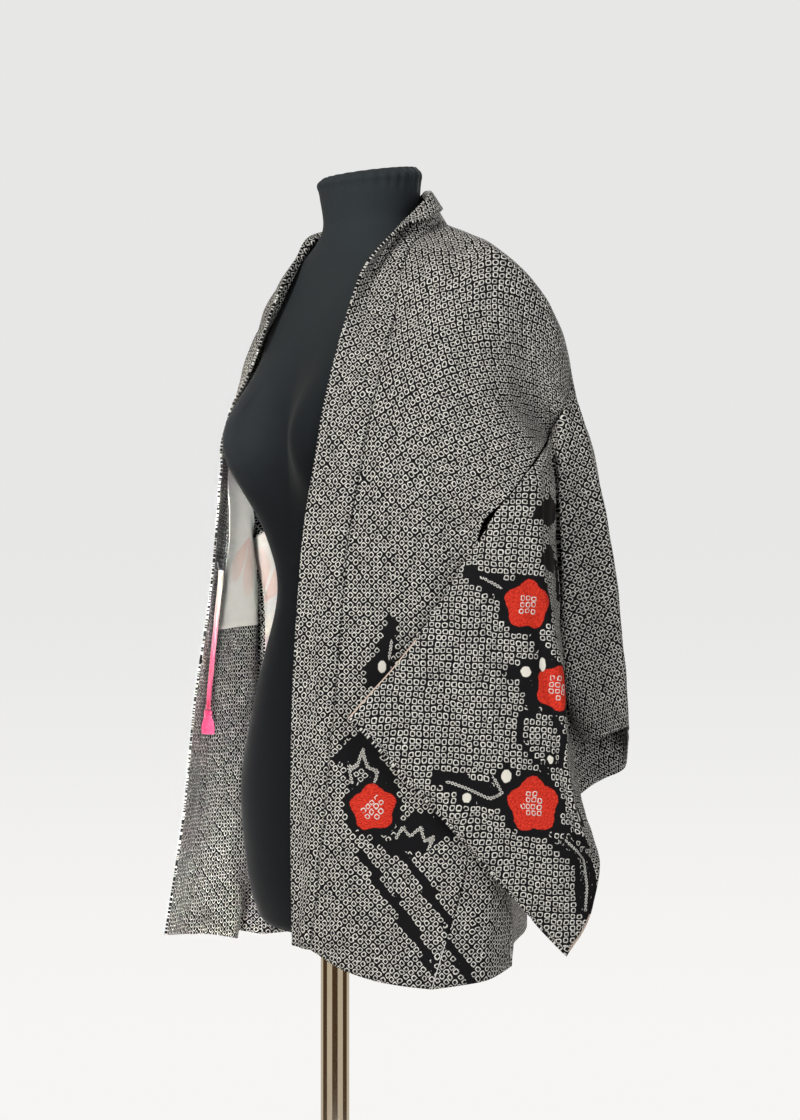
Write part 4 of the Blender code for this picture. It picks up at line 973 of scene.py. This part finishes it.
def dye_marks(flat, design):
    """Values that the dyed silk's material reads, at each point of the flat cut."""
    points = flat.reshape(-1, 2)
    depth = bare_depth(points, design)
    slopes = [(bare_depth(points + step, design) - depth) / SLOPE_STEP
              for step in ((SLOPE_STEP, 0), (0, SLOPE_STEP))]
    bloom = np.full((len(points), 3), NO_BLOOM)
    for blossom in design.blossoms:
        local = own_axes(points, blossom) / blossom.radius
        distance = np.linalg.norm(local, axis=1)
        closer = distance < bloom[:, 2]
        bloom[closer] = np.column_stack([local, distance])[closer]
    buds = [patch_depth(points, bud) for bud in design.buds]
    bud = np.max([np.full(len(points), NO_BUD), *buds], axis=0)
    vein = np.tile((NOWHERE, 0.0, NOWHERE), (len(points), 1))
    for line in design.veins:
        distance, signed, along = line_place(points, line)
        closer = distance < vein[:, 2]
        vein[closer] = np.stack([signed, along, distance], axis=1)[closer]
    return {"bare": np.stack([depth, *slopes], axis=1), "bloom": bloom, "bud": bud, "vein": vein}


print("a bough can hold", ", ".join(Design._fields))

# %% Boughs
def bough(blossoms=(), buds=(), patches=(), branches=(), veins=()):
    """A design from tables in millimetres and degrees."""
    def line(points):
        return [(u / 1000, v / 1000) for u, v in points]

    def marks(kind, rows):
        return [kind(*(size / 1000 for size in row[:-1]), row[-1]) for row in rows]

    return Design(marks(Blossom, blossoms), marks(Patch, buds), marks(Patch, patches),
                  [Branch(width / 1000, line(points)) for width, points in branches],
                  [line(points) for points in veins])


BODY_BOUGH = bough(
    blossoms=[(119, 170, 24.5, 8)],
    patches=[(102, 226, 16, 12, 0), (165, 145, 22, 17, 0)],
    branches=[
        (13, [(82, 216), (95, 231), (105, 238), (116, 221), (130, 203)]),
        (11, [(130, 203), (139, 180), (143, 160), (150, 150)]),
        (12, [(150, 152), (163, 161), (178, 161), (193, 151)]),
        (8.5, [(111, 122), (124, 108), (130, 94), (146, 80), (156, 62), (170, 50),
               (186, 20)]),
        (10.5, [(124, 139), (146, 130), (158, 118), (176, 101), (183, 86), (199, 68),
                (212, 50)]),
    ],
    veins=[
        [(97, 192), (93, 208), (101, 209), (106, 226), (111, 209), (122, 206),
         (119, 194)],
        [(143, 141), (149, 153), (157, 144), (167, 154), (172, 141), (182, 147),
         (176, 134)],
    ])
CHEST_BUD = bough(buds=[(124, 308, 4.2, 6.2, 0)], patches=[(121, 302, 15, 17, 0)],
                  branches=[(12, [(113, 292), (126, 322), (134, 352)])],
                  veins=[[(131, 317), (134, 334)]])
SLEEVE_BOUGH = bough(
    blossoms=[(202, 136, 25.5, 225), (172, 215, 23.5, 243),
              (80, 283, 28.5, 219)],
    buds=[(157.5, 182.5, 5.4, 5.2, 45), (176, 189, 6.8, 4, -45),
          (77, 244, 6.6, 5.2, -45), (33.5, 234.5, 5.2, 4.6, -45),
          (123, 263, 4.2, 4.2, 0), (119, 326, 5.6, 3, -45)],
    patches=[(190, 104, 15, 9, 40), (54, 252, 20, 10, 45)],
    branches=[
        (15, [(179, 76), (187, 91), (197, 109)]),
        (12, [(187, 166), (184, 188)]),
        (17, [(147, 175), (178, 194)]),
        (12, [(150, 192), (140, 216)]),
        (7, [(142, 218), (124, 212), (110, 229), (109, 250), (112, 268)]),
        (7, [(152, 236), (147, 263), (128, 276)]),
        (17, [(26, 202), (37, 217), (47, 236), (60, 258)]),
        (8, [(70, 311), (70, 330), (80, 348), (67, 369), (46, 392)]),
        (7, [(86, 318), (99, 342), (92, 370), (70, 390), (46, 401)]),
    ],
    veins=[
        [(184, 85), (192, 106)],
        [(162, 197), (172, 206)],
        [(30, 210), (40, 229), (50, 250), (63, 254), (67, 236)],
        [(82, 330), (88, 360), (67, 382), (48, 395)],
    ])
# The sleeve's deep crease is left bare and black. The two patches are dyed patches that the silk
# has there, drawn larger. Together with the short branch below them, they are also painted shade:
# they darken the crease where it lies in shadow.
CREASE_DYE_AND_PAINTED_SHADE = bough(patches=[(291, 87, 34, 14, 26), (270, 128, 36, 14, 28)],
                     branches=[(12, [(302, 150), (290, 182)])])
GUSSET_BOUGH = bough(branches=[(10, [(-4, 58), (26, 31), (44, -4)])])


def placed(design, start, way_u=1, way_v=1):
    """The same bough elsewhere: from a new start, and the other way across or along."""
    def there(points):
        return [(start[0] + way_u * u, start[1] + way_v * v) for u, v in points]

    def turned(marks):
        spin = 180 if way_v < 0 else 0
        return [m._replace(u=start[0] + way_u * m.u, v=start[1] + way_v * m.v,
                           turn=m.turn * way_u * way_v + spin) for m in marks]

    return Design(turned(design.blossoms), turned(design.buds), turned(design.patches),
                  [Branch(b.width, there(b.points)) for b in design.branches],
                  [there(line) for line in design.veins])


def together(*designs):
    """Several boughs on one piece of cloth."""
    return Design(*[sum(parts, []) for parts in zip(*designs)])


DESIGNS = {
    "body_left": together(BODY_BOUGH, CHEST_BUD, placed(BODY_BOUGH, (0.305, 1.470), -1, -1),
                          placed(BODY_BOUGH, (0.048, 1.200), 1, -1)),
    "body_right": placed(BODY_BOUGH, (0.300, 1.420), -1, -1),
    "sleeve_left": together(SLEEVE_BOUGH, CREASE_DYE_AND_PAINTED_SHADE,
                            placed(SLEEVE_BOUGH, (0.752, 0.004), -1, 1)),
    "sleeve_right": together(placed(SLEEVE_BOUGH, (0.054, 0.022)),
                             placed(SLEEVE_BOUGH, (0.700, 0.014), -1, 1)),
    "gusset_left": GUSSET_BOUGH,
}
print("designs for", sorted(DESIGNS))

# %% [markdown]
# ## Sewing the pieces up
# Now each grid becomes a piece. It is refined, its folds are pressed in, and the cloth
# map and the design's marks are stored on it. The cloth map is in metres, as large as
# the cut: silk hangs, but it hardly stretches.

# %% Cloth pieces
def cloth_piece(name, grid, flat, thickness, node_name, closed=False):
    """Sews a grid up as thin cloth with its cloth map, in metres as it was cut, and its dye marks.
    """
    rows, columns = grid.shape[:2]
    made = piece(name, grid.reshape(-1, 3), grid_faces(rows, columns, closed), thickness)
    corners = np.stack([corner(flat, step) for step in CELL_CORNERS], axis=2)
    made.data.uv_layers.new(name="cloth").data.foreach_set("uv", corners.ravel())
    for label, values in dye_marks(flat[:, :columns], DESIGNS.get(node_name, PLAIN)).items():
        mark(made, label, values)
    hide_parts(node_name)
    return made

# %% Bodies, sleeves and gussets
BODY_LAY = {"start": (-0.030, -0.001)}                   # how each cut lies on the bolt
SLEEVE_LAY = {"turn": 0.08, "start": (0.001, -0.001)}
PANEL_PARTS = (8, 6)
SLEEVE_PARTS = (5, 5)
LIP_REACH = 0.095       # how far round a sleeve's bottom its lining peeps out, at the open edge
LIP_AT_CUFF = 0.050     # and at the cuff


def lip_marks(hanging):
    """1 where the lining peeps out of a sleeve's two end rows, near its bottom edge."""
    lip = np.zeros(hanging.shape)
    for row, reach, strength in ((0, LIP_REACH, 1.0), (-1, LIP_AT_CUFF, 0.9)):
        low = (hanging[row] < reach) | (hanging[row] > hanging.max() - reach)
        lip[row] = np.where(low, strength, 0.0)
    return lip.ravel()


def sew_panel(name, side, panel, lay, folds):
    """Sews up a body panel or a gusset, with its folds pressed in."""
    flat = refine(flat_cut(panel, **lay), *PANEL_PARTS)
    grid = refine(panel, *PANEL_PARTS)
    if folds:
        grid = press_folds(grid, flat, folds)
    if side == "right":
        grid, flat = flip(grid), flat[:, ::-1]
    return cloth_piece(f"{name}_{side}_cloth", grid, flat, CLOTH, f"{name}_{side}")


def sew_sleeve(side, sleeve):
    """Sews up a sleeve's tube, and marks where its lining peeps out."""
    closed = np.concatenate([sleeve, sleeve[:, :1]], axis=1)
    flat = refine(flat_cut(closed, **SLEEVE_LAY), *SLEEVE_PARTS)
    grid = refine(sleeve, *SLEEVE_PARTS, closed=True)
    grid = press_folds(grid, flat[:, :-1], SLEEVE_FOLDS, facing=-1.0)
    if side == "right":
        grid = np.concatenate([grid[:, :1], grid[:, 1:][:, ::-1]], axis=1) * (-1.0, 1.0, 1.0)
        flat = flat[:, ::-1]
    sewn = cloth_piece(f"sleeve_{side}_cloth", grid, flat, CLOTH, f"sleeve_{side}",
                       closed=True)
    mark(sewn, "lip", lip_marks(flat[:, :-1, 0]))
    return sewn


shibori_pieces = []
for side, (body, sleeve, gusset, marks) in sides.items():
    shibori_pieces += [sew_panel("body", side, body, BODY_LAY, BODY_FOLDS),
                       sew_sleeve(side, sleeve), sew_panel("gusset", side, gusset, {}, ())]

# %% Collar and linings
LINED_PARTS = (6, 5)
SOLID_CLOTH = 0.0022    # the walls of the solids, whose inside the lining lies on
SOLID_LINING = 0.0010
shibori_pieces.append(cloth_piece(
    "collar_cloth", refine(collar_grid, *LINED_PARTS), refine(flat_cut(collar_grid), *LINED_PARTS),
    COLLAR_CLOTH, "collar"))
body, _, _, marks = sides["right"]
body_flat = flat_cut(body, **BODY_LAY)
inside = body - normals(body) * (SOLID_CLOTH / 2 + LAY_GAP + SOLID_LINING / 2)
lining_pieces = []
for name, first_row, last_row in (("lining_front", LINING_FRONT_FIRST, LINING_FRONT_LAST),
                                  ("lining_back", marks[3] - 1, marks[3] + LINING_BACK_ROWS)):
    rows = slice(first_row, last_row + 1)
    sheet = inside[rows].copy()
    draw_in(sheet, 1, 0, LINING_SET_BACK)
    draw_in(sheet, 1, -1, LINING_SET_BACK)
    under = refine(body_flat[rows], *LINED_PARTS)
    grid = press_folds(refine(sheet, *LINED_PARTS), under, BODY_FOLDS)
    flat = refine(flat_cut(sheet), *LINED_PARTS)[:, ::-1]
    lining_pieces.append(cloth_piece(f"{name}_cloth", flip(grid), flat, LINING, f"{name}_right"))

# %% [markdown]
# ## Material tools
# A finish is built from nodes, as a dyer builds a colour in baths. Short helpers add a
# node and wire it, so that a line of code reads like one step of the finish.

# %% Node helpers
class Value:
    """A node's output, which adds and multiplies like a number."""

    tree = None     # the finish or the group that is being built

    def __init__(self, socket):
        self.socket = socket


class Outputs:
    """All that a node gives out, by name or by place."""

    def __init__(self, made):
        self.made = made

    def __getitem__(self, label):
        return Value(self.made.outputs[label])


def wire(socket, value):
    """Sets a socket, or wires a node's output to it."""
    if isinstance(value, Value):
        Value.tree.links.new(value.socket, socket)
    else:
        socket.default_value = (*value, 1.0) if socket.type == "RGBA" else value


def node(kind, values=(), **settings):
    """Adds a shader node, with its settings and the values of its inputs by place or name."""
    made = Value.tree.nodes.new("ShaderNode" + kind)
    for name, value in settings.items():
        setattr(made, name, value)
    for place, value in values.items() if isinstance(values, dict) else enumerate(values):
        wire(made.inputs[place], value)
    return Outputs(made)


def reckon(operation, *values):
    """One step of arithmetic with numbers."""
    return node("Math", values, operation=operation)[0]


def direct(operation, *values):
    """One step of arithmetic with vectors."""
    return node("VectorMath", values, operation=operation)[0]


# a + b and the like between values now add a Math node each
for sign, operation in (("add", "ADD"), ("sub", "SUBTRACT"), ("mul", "MULTIPLY"),
                        ("truediv", "DIVIDE"), ("pow", "POWER")):
    setattr(Value, f"__{sign}__", lambda a, b, kind=operation: reckon(kind, a, b))
    setattr(Value, f"__r{sign}__", lambda a, b, kind=operation: reckon(kind, b, a))


def ramp(value, low, high):
    """0 below low and 1 above high, with a soft turn. Low may be the larger one."""
    return node("MapRange", [value, low, high], interpolation_type="SMOOTHSTEP")[0]


def dye(share, ground, colour):
    """Colour laid over a ground where share is 1."""
    return node("Mix", {0: share, 6: ground, 7: colour}, data_type="RGBA")[2]


def noise(place, scale, detail=2.0, output="Fac", **more):
    """Soft uneven values, finer where the scale is larger."""
    return node("TexNoise", {"Vector": place, "Scale": scale, "Detail": detail, **more})[output]


def grain(stretch, detail=2.0):
    """Noise that is drawn out along the piece, by its waves a metre each way."""
    return noise(direct("MULTIPLY", node("TexCoord")["Object"], stretch), 1.0, detail)


def parts_of(vector):
    """The three numbers of a vector."""
    return node("SeparateXYZ", [vector])


def stored(name):
    """The three values that a piece stored at its points."""
    return parts_of(node("Attribute", attribute_name=name)["Vector"])


def scaled(vector, size):
    """A vector times a number."""
    return node("VectorMath", {0: vector, "Scale": size}, operation="SCALE")[0]


def turned_by(vector, angle):
    """A vector turned in the plane of the cloth."""
    return node("VectorRotate", {"Vector": vector, "Angle": angle}, rotation_type="Z_AXIS")[0]


def length_of(x, y):
    """How long the vector with these two parts is."""
    return reckon("SQRT", x * x + y * y)


def new_group(name, inputs, outputs):
    """Empty shader group with named inputs, as (kind, name, start value), and outputs."""
    tree = Value.tree = bpy.data.node_groups.new(name, "ShaderNodeTree")
    for kind, label, start in inputs:
        socket = tree.interface.new_socket(label, in_out="INPUT", socket_type="NodeSocket" + kind)
        if start is not None:
            socket.default_value = start
    for kind, label in outputs:
        tree.interface.new_socket(label, in_out="OUTPUT", socket_type="NodeSocket" + kind)
    return tree, Outputs(tree.nodes.new("NodeGroupInput")), tree.nodes.new("NodeGroupOutput").inputs


def new_finish(name, **constants):
    """New material, with the numbers that are the same all over set on its shader."""
    made = bpy.data.materials.new(name)
    made.use_nodes = True
    Value.tree = made.node_tree
    inputs = made.node_tree.nodes["Principled BSDF"].inputs
    for label, value in constants.items():
        inputs[label.replace("_", " ")].default_value = value
    return made, inputs


def emboss(inputs, height, distance, strength):
    """Lets a height that changes over the surface catch the light."""
    bump = node("Bump", {"Height": height, "Distance": distance, "Strength": strength})
    wire(inputs["Normal"], bump[0])


def put_on(finish, *pieces):
    """Gives a finish to pieces that have none yet."""
    for made in pieces:
        made.data.materials.append(finish)
    print(finish.name, "on", len(pieces), "pieces")

# %% [markdown]
# ## Tied dots
# For each dot a dyer pinches up a grain of cloth and binds it with thread. The thread
# keeps the dye out, and leaves a pale, roughly square ring round a dark point. The
# rows run at 45 degrees to the weave, because silk gives most that way. The group
# turns the cloth map by 45 degrees, cuts it into cells, and draws one uneven ring in
# each. It also gives the way to the middle of the cell, so that a dot can be left out
# whole where the design asks for bare ground.

# %% Tied dots group
DOT_PITCH = 0.0062
DOT_TURN = math.pi / 4
DOT_SQUARE = 3.2            # 2 draws a circle, and a large number a square
ROW_STRAY = 0.75            # of a pitch, how far the rows wander
DOT_STRAY = 0.16            # of a cell, how far one dot sits off its middle
DOT_FRAY = 0.20
RING_OUTER = (0.408, 0.376)
RING_HOLE = (0.232, 0.268)
DOME = (0.50, 0.18)
PINCH = (0.16, 0.04)
HALF = (0.5, 0.5, 0.5)

dots_tree, given, put_out = new_group(
    "tied_dots",
    [("Vector", "Cloth", None), ("Float", "Pitch", DOT_PITCH), ("Float", "Unevenness", 1.0)],
    [("Float", "Ring"), ("Float", "Height"), ("Float", "Chance"), ("Vector", "To Middle")])
drift = direct("SUBTRACT", noise(given["Cloth"], 55.0, 1.0, "Color"), HALF)
drift = scaled(drift, given["Pitch"] * (given["Unevenness"] * ROW_STRAY))
celled = scaled(turned_by(direct("ADD", given["Cloth"], drift), DOT_TURN), 1.0 / given["Pitch"])
cell = direct("ADD", direct("FLOOR", celled), (0.5, 0.5, 0.0))
luck = node("TexWhiteNoise", {"Vector": cell}, noise_dimensions="2D")
local = direct("SUBTRACT", celled, cell)
stray = scaled(direct("SUBTRACT", luck["Color"], HALF), given["Unevenness"] * DOT_STRAY)
shaped = parts_of(direct("ABSOLUTE", direct("ADD", local, stray)))
radius = (shaped[0] ** DOT_SQUARE + shaped[1] ** DOT_SQUARE) ** (1 / DOT_SQUARE)
fray = (noise(given["Cloth"], 620.0, 1.0) - 0.5) * DOT_FRAY
radius = (radius + fray) / (luck["Value"] * 0.10 + 0.95)
wire(put_out["Ring"], ramp(radius, *RING_OUTER) * ramp(radius, *RING_HOLE))
wire(put_out["Height"], ramp(radius, *DOME) - ramp(radius, *PINCH) * 0.5)
wire(put_out["Chance"], luck["Value"])
wire(put_out["To Middle"], scaled(turned_by(local, -DOT_TURN), given["Pitch"] * -1.0))
print("dots", round(DOT_PITCH * 1000, 1), "mm apart")

# %% [markdown]
# ## Silk weave
# Under the dots there is a fine plain weave, and no dye takes quite evenly. The weave
# group is shared by the outer silk and the lining: crossing waves for the threads, and
# a soft cloudy value for uneven dye.

# %% Silk weave group
weave_tree, given, put_out = new_group(
    "silk_weave",
    [("Vector", "Cloth", None), ("Float", "Threads", 1400.0)],
    [("Float", "Height"), ("Float", "Cloud")])
threads = parts_of(given["Cloth"])
wire(put_out["Height"], reckon("SINE", threads[0] * given["Threads"])
     * reckon("SINE", threads[1] * given["Threads"]))
wire(put_out["Cloud"], noise(given["Cloth"], 14.0, 4.0, Roughness=0.65))
print("weave group ready")

# %% [markdown]
# ## The outer silk
# The material reads the marks in order, as the dyer works: black ground, vermilion
# blossoms, white buds, the chains of small rings, and the tied dots over all of it
# where the design doesn't leave them out.

# %% Shibori silk
BLACK = (0.0040, 0.0040, 0.0055)
RING_WHITE = (0.80, 0.785, 0.725)
VERMILION = (0.76, 0.045, 0.020)
VERMILION_DEEP = (0.46, 0.016, 0.010)
BUD_WHITE = (0.80, 0.77, 0.68)
LIP_CREAM = (0.72, 0.56, 0.46)
VEIN_PITCH = 0.0034
VEIN_REACH = 0.0026     # how far beside its line a small ring may be drawn
PETALS = 5.0
PETAL_SWELL = 0.085     # of a blossom's radius, round its mean edge
PETAL_EDGE = 0.88
PETAL_TEAR = 0.12
RING_TEAR = 0.25

shibori, inputs = new_finish("shibori_silk", Roughness=0.74, Sheen_Weight=0.02,
                             Sheen_Roughness=0.45, Specular_IOR_Level=0.14)
cloth = node("UVMap", uv_map="cloth")[0]
dots = node("Group", {"Cloth": cloth}, node_tree=dots_tree)
weave = node("Group", {"Cloth": cloth}, node_tree=weave_tree)
bare, bloom, vein = stored("bare"), stored("bloom"), stored("vein")
middle = parts_of(dots["To Middle"])
tied = reckon("LESS_THAN", bare[0] + bare[1] * middle[0] + bare[2] * middle[1], 0.0)

torn = noise(cloth, 240.0) - 0.5
lobes = reckon("COSINE", reckon("ARCTAN2", bloom[0], bloom[1]) * PETALS)
edge = lobes * PETAL_SWELL + PETAL_EDGE + torn * PETAL_TEAR
petal = ramp(length_of(bloom[0], bloom[1]) - edge, 0.02, -0.02) * ramp(bloom[2], 1.6, 1.3)
streaks = noise(direct("MULTIPLY", cloth, (330.0, 900.0, 1.0)), 1.0)
colour = dye(petal, BLACK, dye(ramp(streaks, 0.62, 0.36), VERMILION, VERMILION_DEEP))

link_place = reckon("FRACT", vein[1] / VEIN_PITCH) - 0.5
link_far = length_of(link_place, vein[0] / VEIN_PITCH) + torn * RING_TEAR
link = ramp(link_far, 0.50, 0.40) * ramp(link_far, 0.16, 0.26)
link = link * reckon("LESS_THAN", vein[2], VEIN_REACH) * ramp(bloom[2], 0.95, 1.05)
ring = reckon("MAXIMUM", dots["Ring"] * tied, link * 0.85)
brightness = (dots["Chance"] * 0.22 + 0.82) * (weave["Cloud"] * 0.25 + 0.86)
colour = dye(ring * brightness, colour, RING_WHITE)
for name, low, high, white in (("bud", -0.0004, 0.0004, BUD_WHITE), ("lip", 0.50, 0.62, LIP_CREAM)):
    painted = node("Attribute", attribute_name=name)["Fac"]
    colour = dye(ramp(painted, low, high), colour, white)
wire(inputs["Base Color"], colour)
height = dots["Height"] * tied + streaks * (petal * 0.6) + weave["Height"] * 0.05
emboss(inputs, height, 0.0009, 0.8)
put_on(shibori, *shibori_pieces)

# %% [markdown]
# ## The lining
# The lining is a smooth cream silk with a sheen. A fan of pale pink petals is dyed on
# it. It shines more than the tied silk, because its threads float over each other.

# %% Lining silk
CREAM = (0.76, 0.72, 0.67)
CREAM_DIM = (0.70, 0.66, 0.60)
PETAL_PINK = (0.74, 0.50, 0.42)
FAN_PITCH = 0.115
FAN_REACH = 0.066
FAN_FOOT = 0.8 * FAN_PITCH      # of a fan's cell, where its spokes start
FAN_PLACE = (0.067, 0.108)      # the point of one fan on the flat cut
FAN_SPOKES = 4.5
lining_silk, inputs = new_finish("lining_silk", Roughness=0.42, Sheen_Weight=0.25,
                                 Specular_IOR_Level=0.5)
cloth = node("UVMap", uv_map="cloth")[0]
weave = node("Group", {"Cloth": cloth, "Threads": 2600.0}, node_tree=weave_tree)
colour = dye(ramp(weave["Cloud"], 0.35, 0.7), CREAM, CREAM_DIM)
shift = direct("SUBTRACT", cloth, (FAN_PLACE[0] - FAN_PITCH / 2, FAN_PLACE[1] - FAN_FOOT, 0.0))
shift = direct("ADD", shift, (10 * FAN_PITCH, 10 * FAN_PITCH, 0.0))
fan = parts_of(direct("MODULO", shift, (FAN_PITCH, FAN_PITCH, 1.0)))
fan_x, fan_y = fan[0] - FAN_PITCH / 2, FAN_FOOT - fan[1]
fan_far = length_of(fan_x, fan_y)
fan_turn = reckon("ARCTAN2", fan_x, fan_y)
spokes = reckon("ABSOLUTE", reckon("COSINE", fan_turn * FAN_SPOKES))
tip = spokes ** 0.7 * (0.5 * FAN_REACH) + 0.5 * FAN_REACH
in_fan = (ramp(fan_far - tip, 0.004, -0.003) * ramp(reckon("ABSOLUTE", fan_turn), 1.15, 1.0)
          * ramp(spokes, 0.10, 0.34))
fade = ramp(fan_far, 0.1 * FAN_REACH, FAN_REACH)
colour = dye(in_fan * (fade * -0.5 + 0.9), colour, PETAL_PINK)
wire(inputs["Base Color"], colour)
emboss(inputs, weave["Height"], 0.0002, 0.4)
put_on(lining_silk, *lining_pieces)

# %% [markdown]
# ## Jersey, chrome and tie silk
# The form's cover is a fine matte knit. Its colour is painted shade: dark at the bottom,
# where the jacket shadows the form, and lighter towards the chest and neck. The pole is
# polished chrome with faint wipe marks, and so is the base. The tie takes its colour
# from how far down the cord a thread is.

# %% Form jersey
# The low slate is painted shade, for the part of the form that the jacket shadows.
SLATE_PAINTED_SHADE = (0.0040, 0.0055, 0.0070)
SLATE_HIGH = (0.034, 0.042, 0.046)
KNIT_SHADE = (0.006, 0.008, 0.010)
jersey, inputs = new_finish("form_jersey", Roughness=0.85, Sheen_Weight=0.05, Sheen_Roughness=0.4,
                            Specular_IOR_Level=0.14)
place = node("TexCoord")["Object"]
knit = grain((900.0, 900.0, 380.0))
# Painted shade: the jersey darkens towards the bottom, where the jacket shadows the form.
painted_shade_by_height = ramp(noise(place, 9.0, 5.0) * 0.10 + parts_of(place)[2], 1.15, 1.51)
colour = dye(knit * 0.35, dye(painted_shade_by_height, SLATE_PAINTED_SHADE, SLATE_HIGH), KNIT_SHADE)
wire(inputs["Base Color"], colour)
emboss(inputs, knit, 0.0004, 0.35)
put_on(jersey, dress_form)

# %% Chrome pole and base
CHROME_DULL = (0.56, 0.51, 0.44)
CHROME_BRIGHT = (0.64, 0.59, 0.52)
chrome, inputs = new_finish("pole_chrome", Metallic=1.0)
wipes = grain((40.0, 40.0, 6.0), 5.0)
wire(inputs["Roughness"], wipes * 0.14 + 0.04)
wire(inputs["Base Color"], dye(ramp(wipes, 0.4, 0.7), CHROME_DULL, CHROME_BRIGHT))
emboss(inputs, wipes, 0.0002, 0.08)
metal = [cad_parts[name] for name in ("stand_pole", "stand_base")]
for solid in metal:
    solid.data.materials.clear()
put_on(chrome, *metal)

# %% Tie silk
DIP_BATHS = ((0.0, (0.74, 0.66, 0.55)), (0.30, (0.76, 0.60, 0.52)), (0.42, (0.80, 0.30, 0.34)),
             (0.62, (0.72, 0.10, 0.20)), (1.0, (0.58, 0.03, 0.10)))
PLAIT_SHADE = (0.40, 0.06, 0.08)
STRAND_DARK = (0.58, 0.025, 0.12)
STRAND_BRIGHT = (0.84, 0.07, 0.20)
LOOP_DARK = (0.008, 0.008, 0.010)
LOOP_BRIGHT = (0.030, 0.030, 0.034)
tie_silk, inputs = new_finish("himo_silk", Roughness=0.55, Sheen_Weight=0.4, Specular_IOR_Level=0.4)
down = stored("braid")
dip = node("ValToRGB", {0: down[2]})
bands = dip.made.color_ramp.elements
for place, _ in DIP_BATHS[1:-1]:
    bands.new(place)
for band, (place, colour) in zip(bands, DIP_BATHS):
    band.position = place
    band.color = (*colour, 1.0)
crossing = [reckon("SINE", down[0] * (6.0 * sign) + down[1] * 3600.0) for sign in (1, -1)]
plait = crossing[0] * crossing[1]
shade = dye(ramp(plait, 0.3, -0.8), dip[0], PLAIT_SHADE)
wire(inputs["Base Color"], dye(0.25, dip[0], shade))
emboss(inputs, plait, 0.0004, 0.5)
put_on(tie_silk, himo_cord)

tassel_silk, inputs = new_finish("tassel_silk", Roughness=0.5, Sheen_Weight=0.5,
                                 Specular_IOR_Level=0.4)
strand_tone = grain((900.0, 900.0, 90.0))
wire(inputs["Base Color"], dye(ramp(strand_tone, 0.3, 0.7), STRAND_DARK, STRAND_BRIGHT))
emboss(inputs, strand_tone, 0.0003, 0.4)
put_on(tassel_silk, himo_tassel)

loop_silk, inputs = new_finish("loop_silk", Roughness=0.6, Sheen_Weight=0.3,
                               Specular_IOR_Level=0.35)
twist = noise(node("TexCoord")["Object"], 1500.0)
wire(inputs["Base Color"], dye(twist, LOOP_DARK, LOOP_BRIGHT))
emboss(inputs, twist, 0.0003, 0.5)
put_on(loop_silk, himo_loop)

# %% [markdown]
# ## Floor and light
# The studio is plain: a pale floor, a very pale grey room, and three large soft lights
# from the front, from the viewer's side and from behind. A narrow fourth one reaches
# the lining inside. Soft light from everywhere shows the pattern evenly and leaves only
# the deep folds dark. The chrome mirrors a furnished room, which nothing else sees.

# %% Stage
FLOOR_RADIUS = 1.88
floor_bm = bmesh.new()
bmesh.ops.create_circle(floor_bm, cap_ends=True, segments=96, radius=FLOOR_RADIUS)
floor_mesh = bpy.data.meshes.new("studio_floor")
floor_bm.to_mesh(floor_mesh)
floor_bm.free()
floor = bpy.data.objects.new("studio_floor", floor_mesh)
bpy.context.scene.collection.objects.link(floor)
floor_paint, inputs = new_finish("floor_paint", Roughness=0.7)
scuffs = noise(node("TexCoord")["Object"], 3.0, 4.0)
wire(inputs["Base Color"], dye(scuffs, (0.86, 0.845, 0.82), (0.89, 0.88, 0.86)))
put_on(floor_paint, floor)


def soft_light(name, place, sizes, power, colour, aim=(0, 0, 1.05), shape="DISK"):
    """A lit panel at a place, turned towards what it lights."""
    data = bpy.data.lights.new(name, "AREA")
    data.shape = shape
    data.size, data.size_y = sizes
    data.energy = power
    data.color = colour
    made = bpy.data.objects.new(name, data)
    bpy.context.scene.collection.objects.link(made)
    made.location = place
    made.rotation_euler = (Vector(aim) - Vector(place)).to_track_quat("-Z", "Y").to_euler()
    return made


soft_light("window_light", (0.85, -2.85, 2.8), (0.9, 0.9), 77.0, (1.0, 0.985, 0.96))
soft_light("side_light", (3.3, -0.4, 1.7), (2.0, 2.0), 30.0, (0.97, 0.985, 1.0))
soft_light("back_light", (-2.0, 3.0, 2.5), (2.4, 2.4), 70.0, (0.98, 0.99, 1.0))
lining_light = soft_light("lining_light", (2.35, -1.86, 1.05), (0.11, 0.75), 1.15,
                          (1.0, 0.99, 0.97), aim=(-0.185, -0.09, 0.93), shape="RECTANGLE")
lining_light.data.spread = math.radians(5)
print("floor", 2 * FLOOR_RADIUS, "m across")

# %% Room
WALL = (0.800, 0.800, 0.795)
WALL_LOW = (0.925, 0.915, 0.895)
ROOM_LIGHT = 0.27
LAMP_COLOUR = (1.0, 0.995, 0.985)
FURNITURE_PALE = (0.96, 0.86, 0.70)     # what the chrome mirrors
FURNITURE_DARK = (0.12, 0.07, 0.034)
room = bpy.data.worlds.new("pale_room")
bpy.context.scene.world = room
room.use_nodes = True
Value.tree = room.node_tree
backdrop = room.node_tree.nodes["Background"]
heading = parts_of(node("TexCoord")["Generated"])
wire(backdrop.inputs["Color"], dye(ramp(heading[2], 0.02, -0.21), WALL, WALL_LOW))
stripe = reckon("SINE", reckon("ARCTAN2", heading[1], heading[0]) * 4.0 + 0.6)
furnished = dye(ramp(stripe, 0.35, 0.0), FURNITURE_PALE, FURNITURE_DARK)
reflected = node("Background", {"Color": furnished, "Strength": 0.8})[0]
lit = node("Background", {"Color": LAMP_COLOUR, "Strength": ROOM_LIGHT})[0]
path = node("LightPath")
glossy = node("MixShader", [path["Is Glossy Ray"], lit, reflected])[0]
seen = node("MixShader", [path["Is Camera Ray"], glossy, Outputs(backdrop)[0]])[0]
wire(room.node_tree.nodes["World Output"].inputs["Surface"], seen)
bpy.context.scene.view_settings.view_transform = "Standard"
print("room lit at", ROOM_LIGHT)
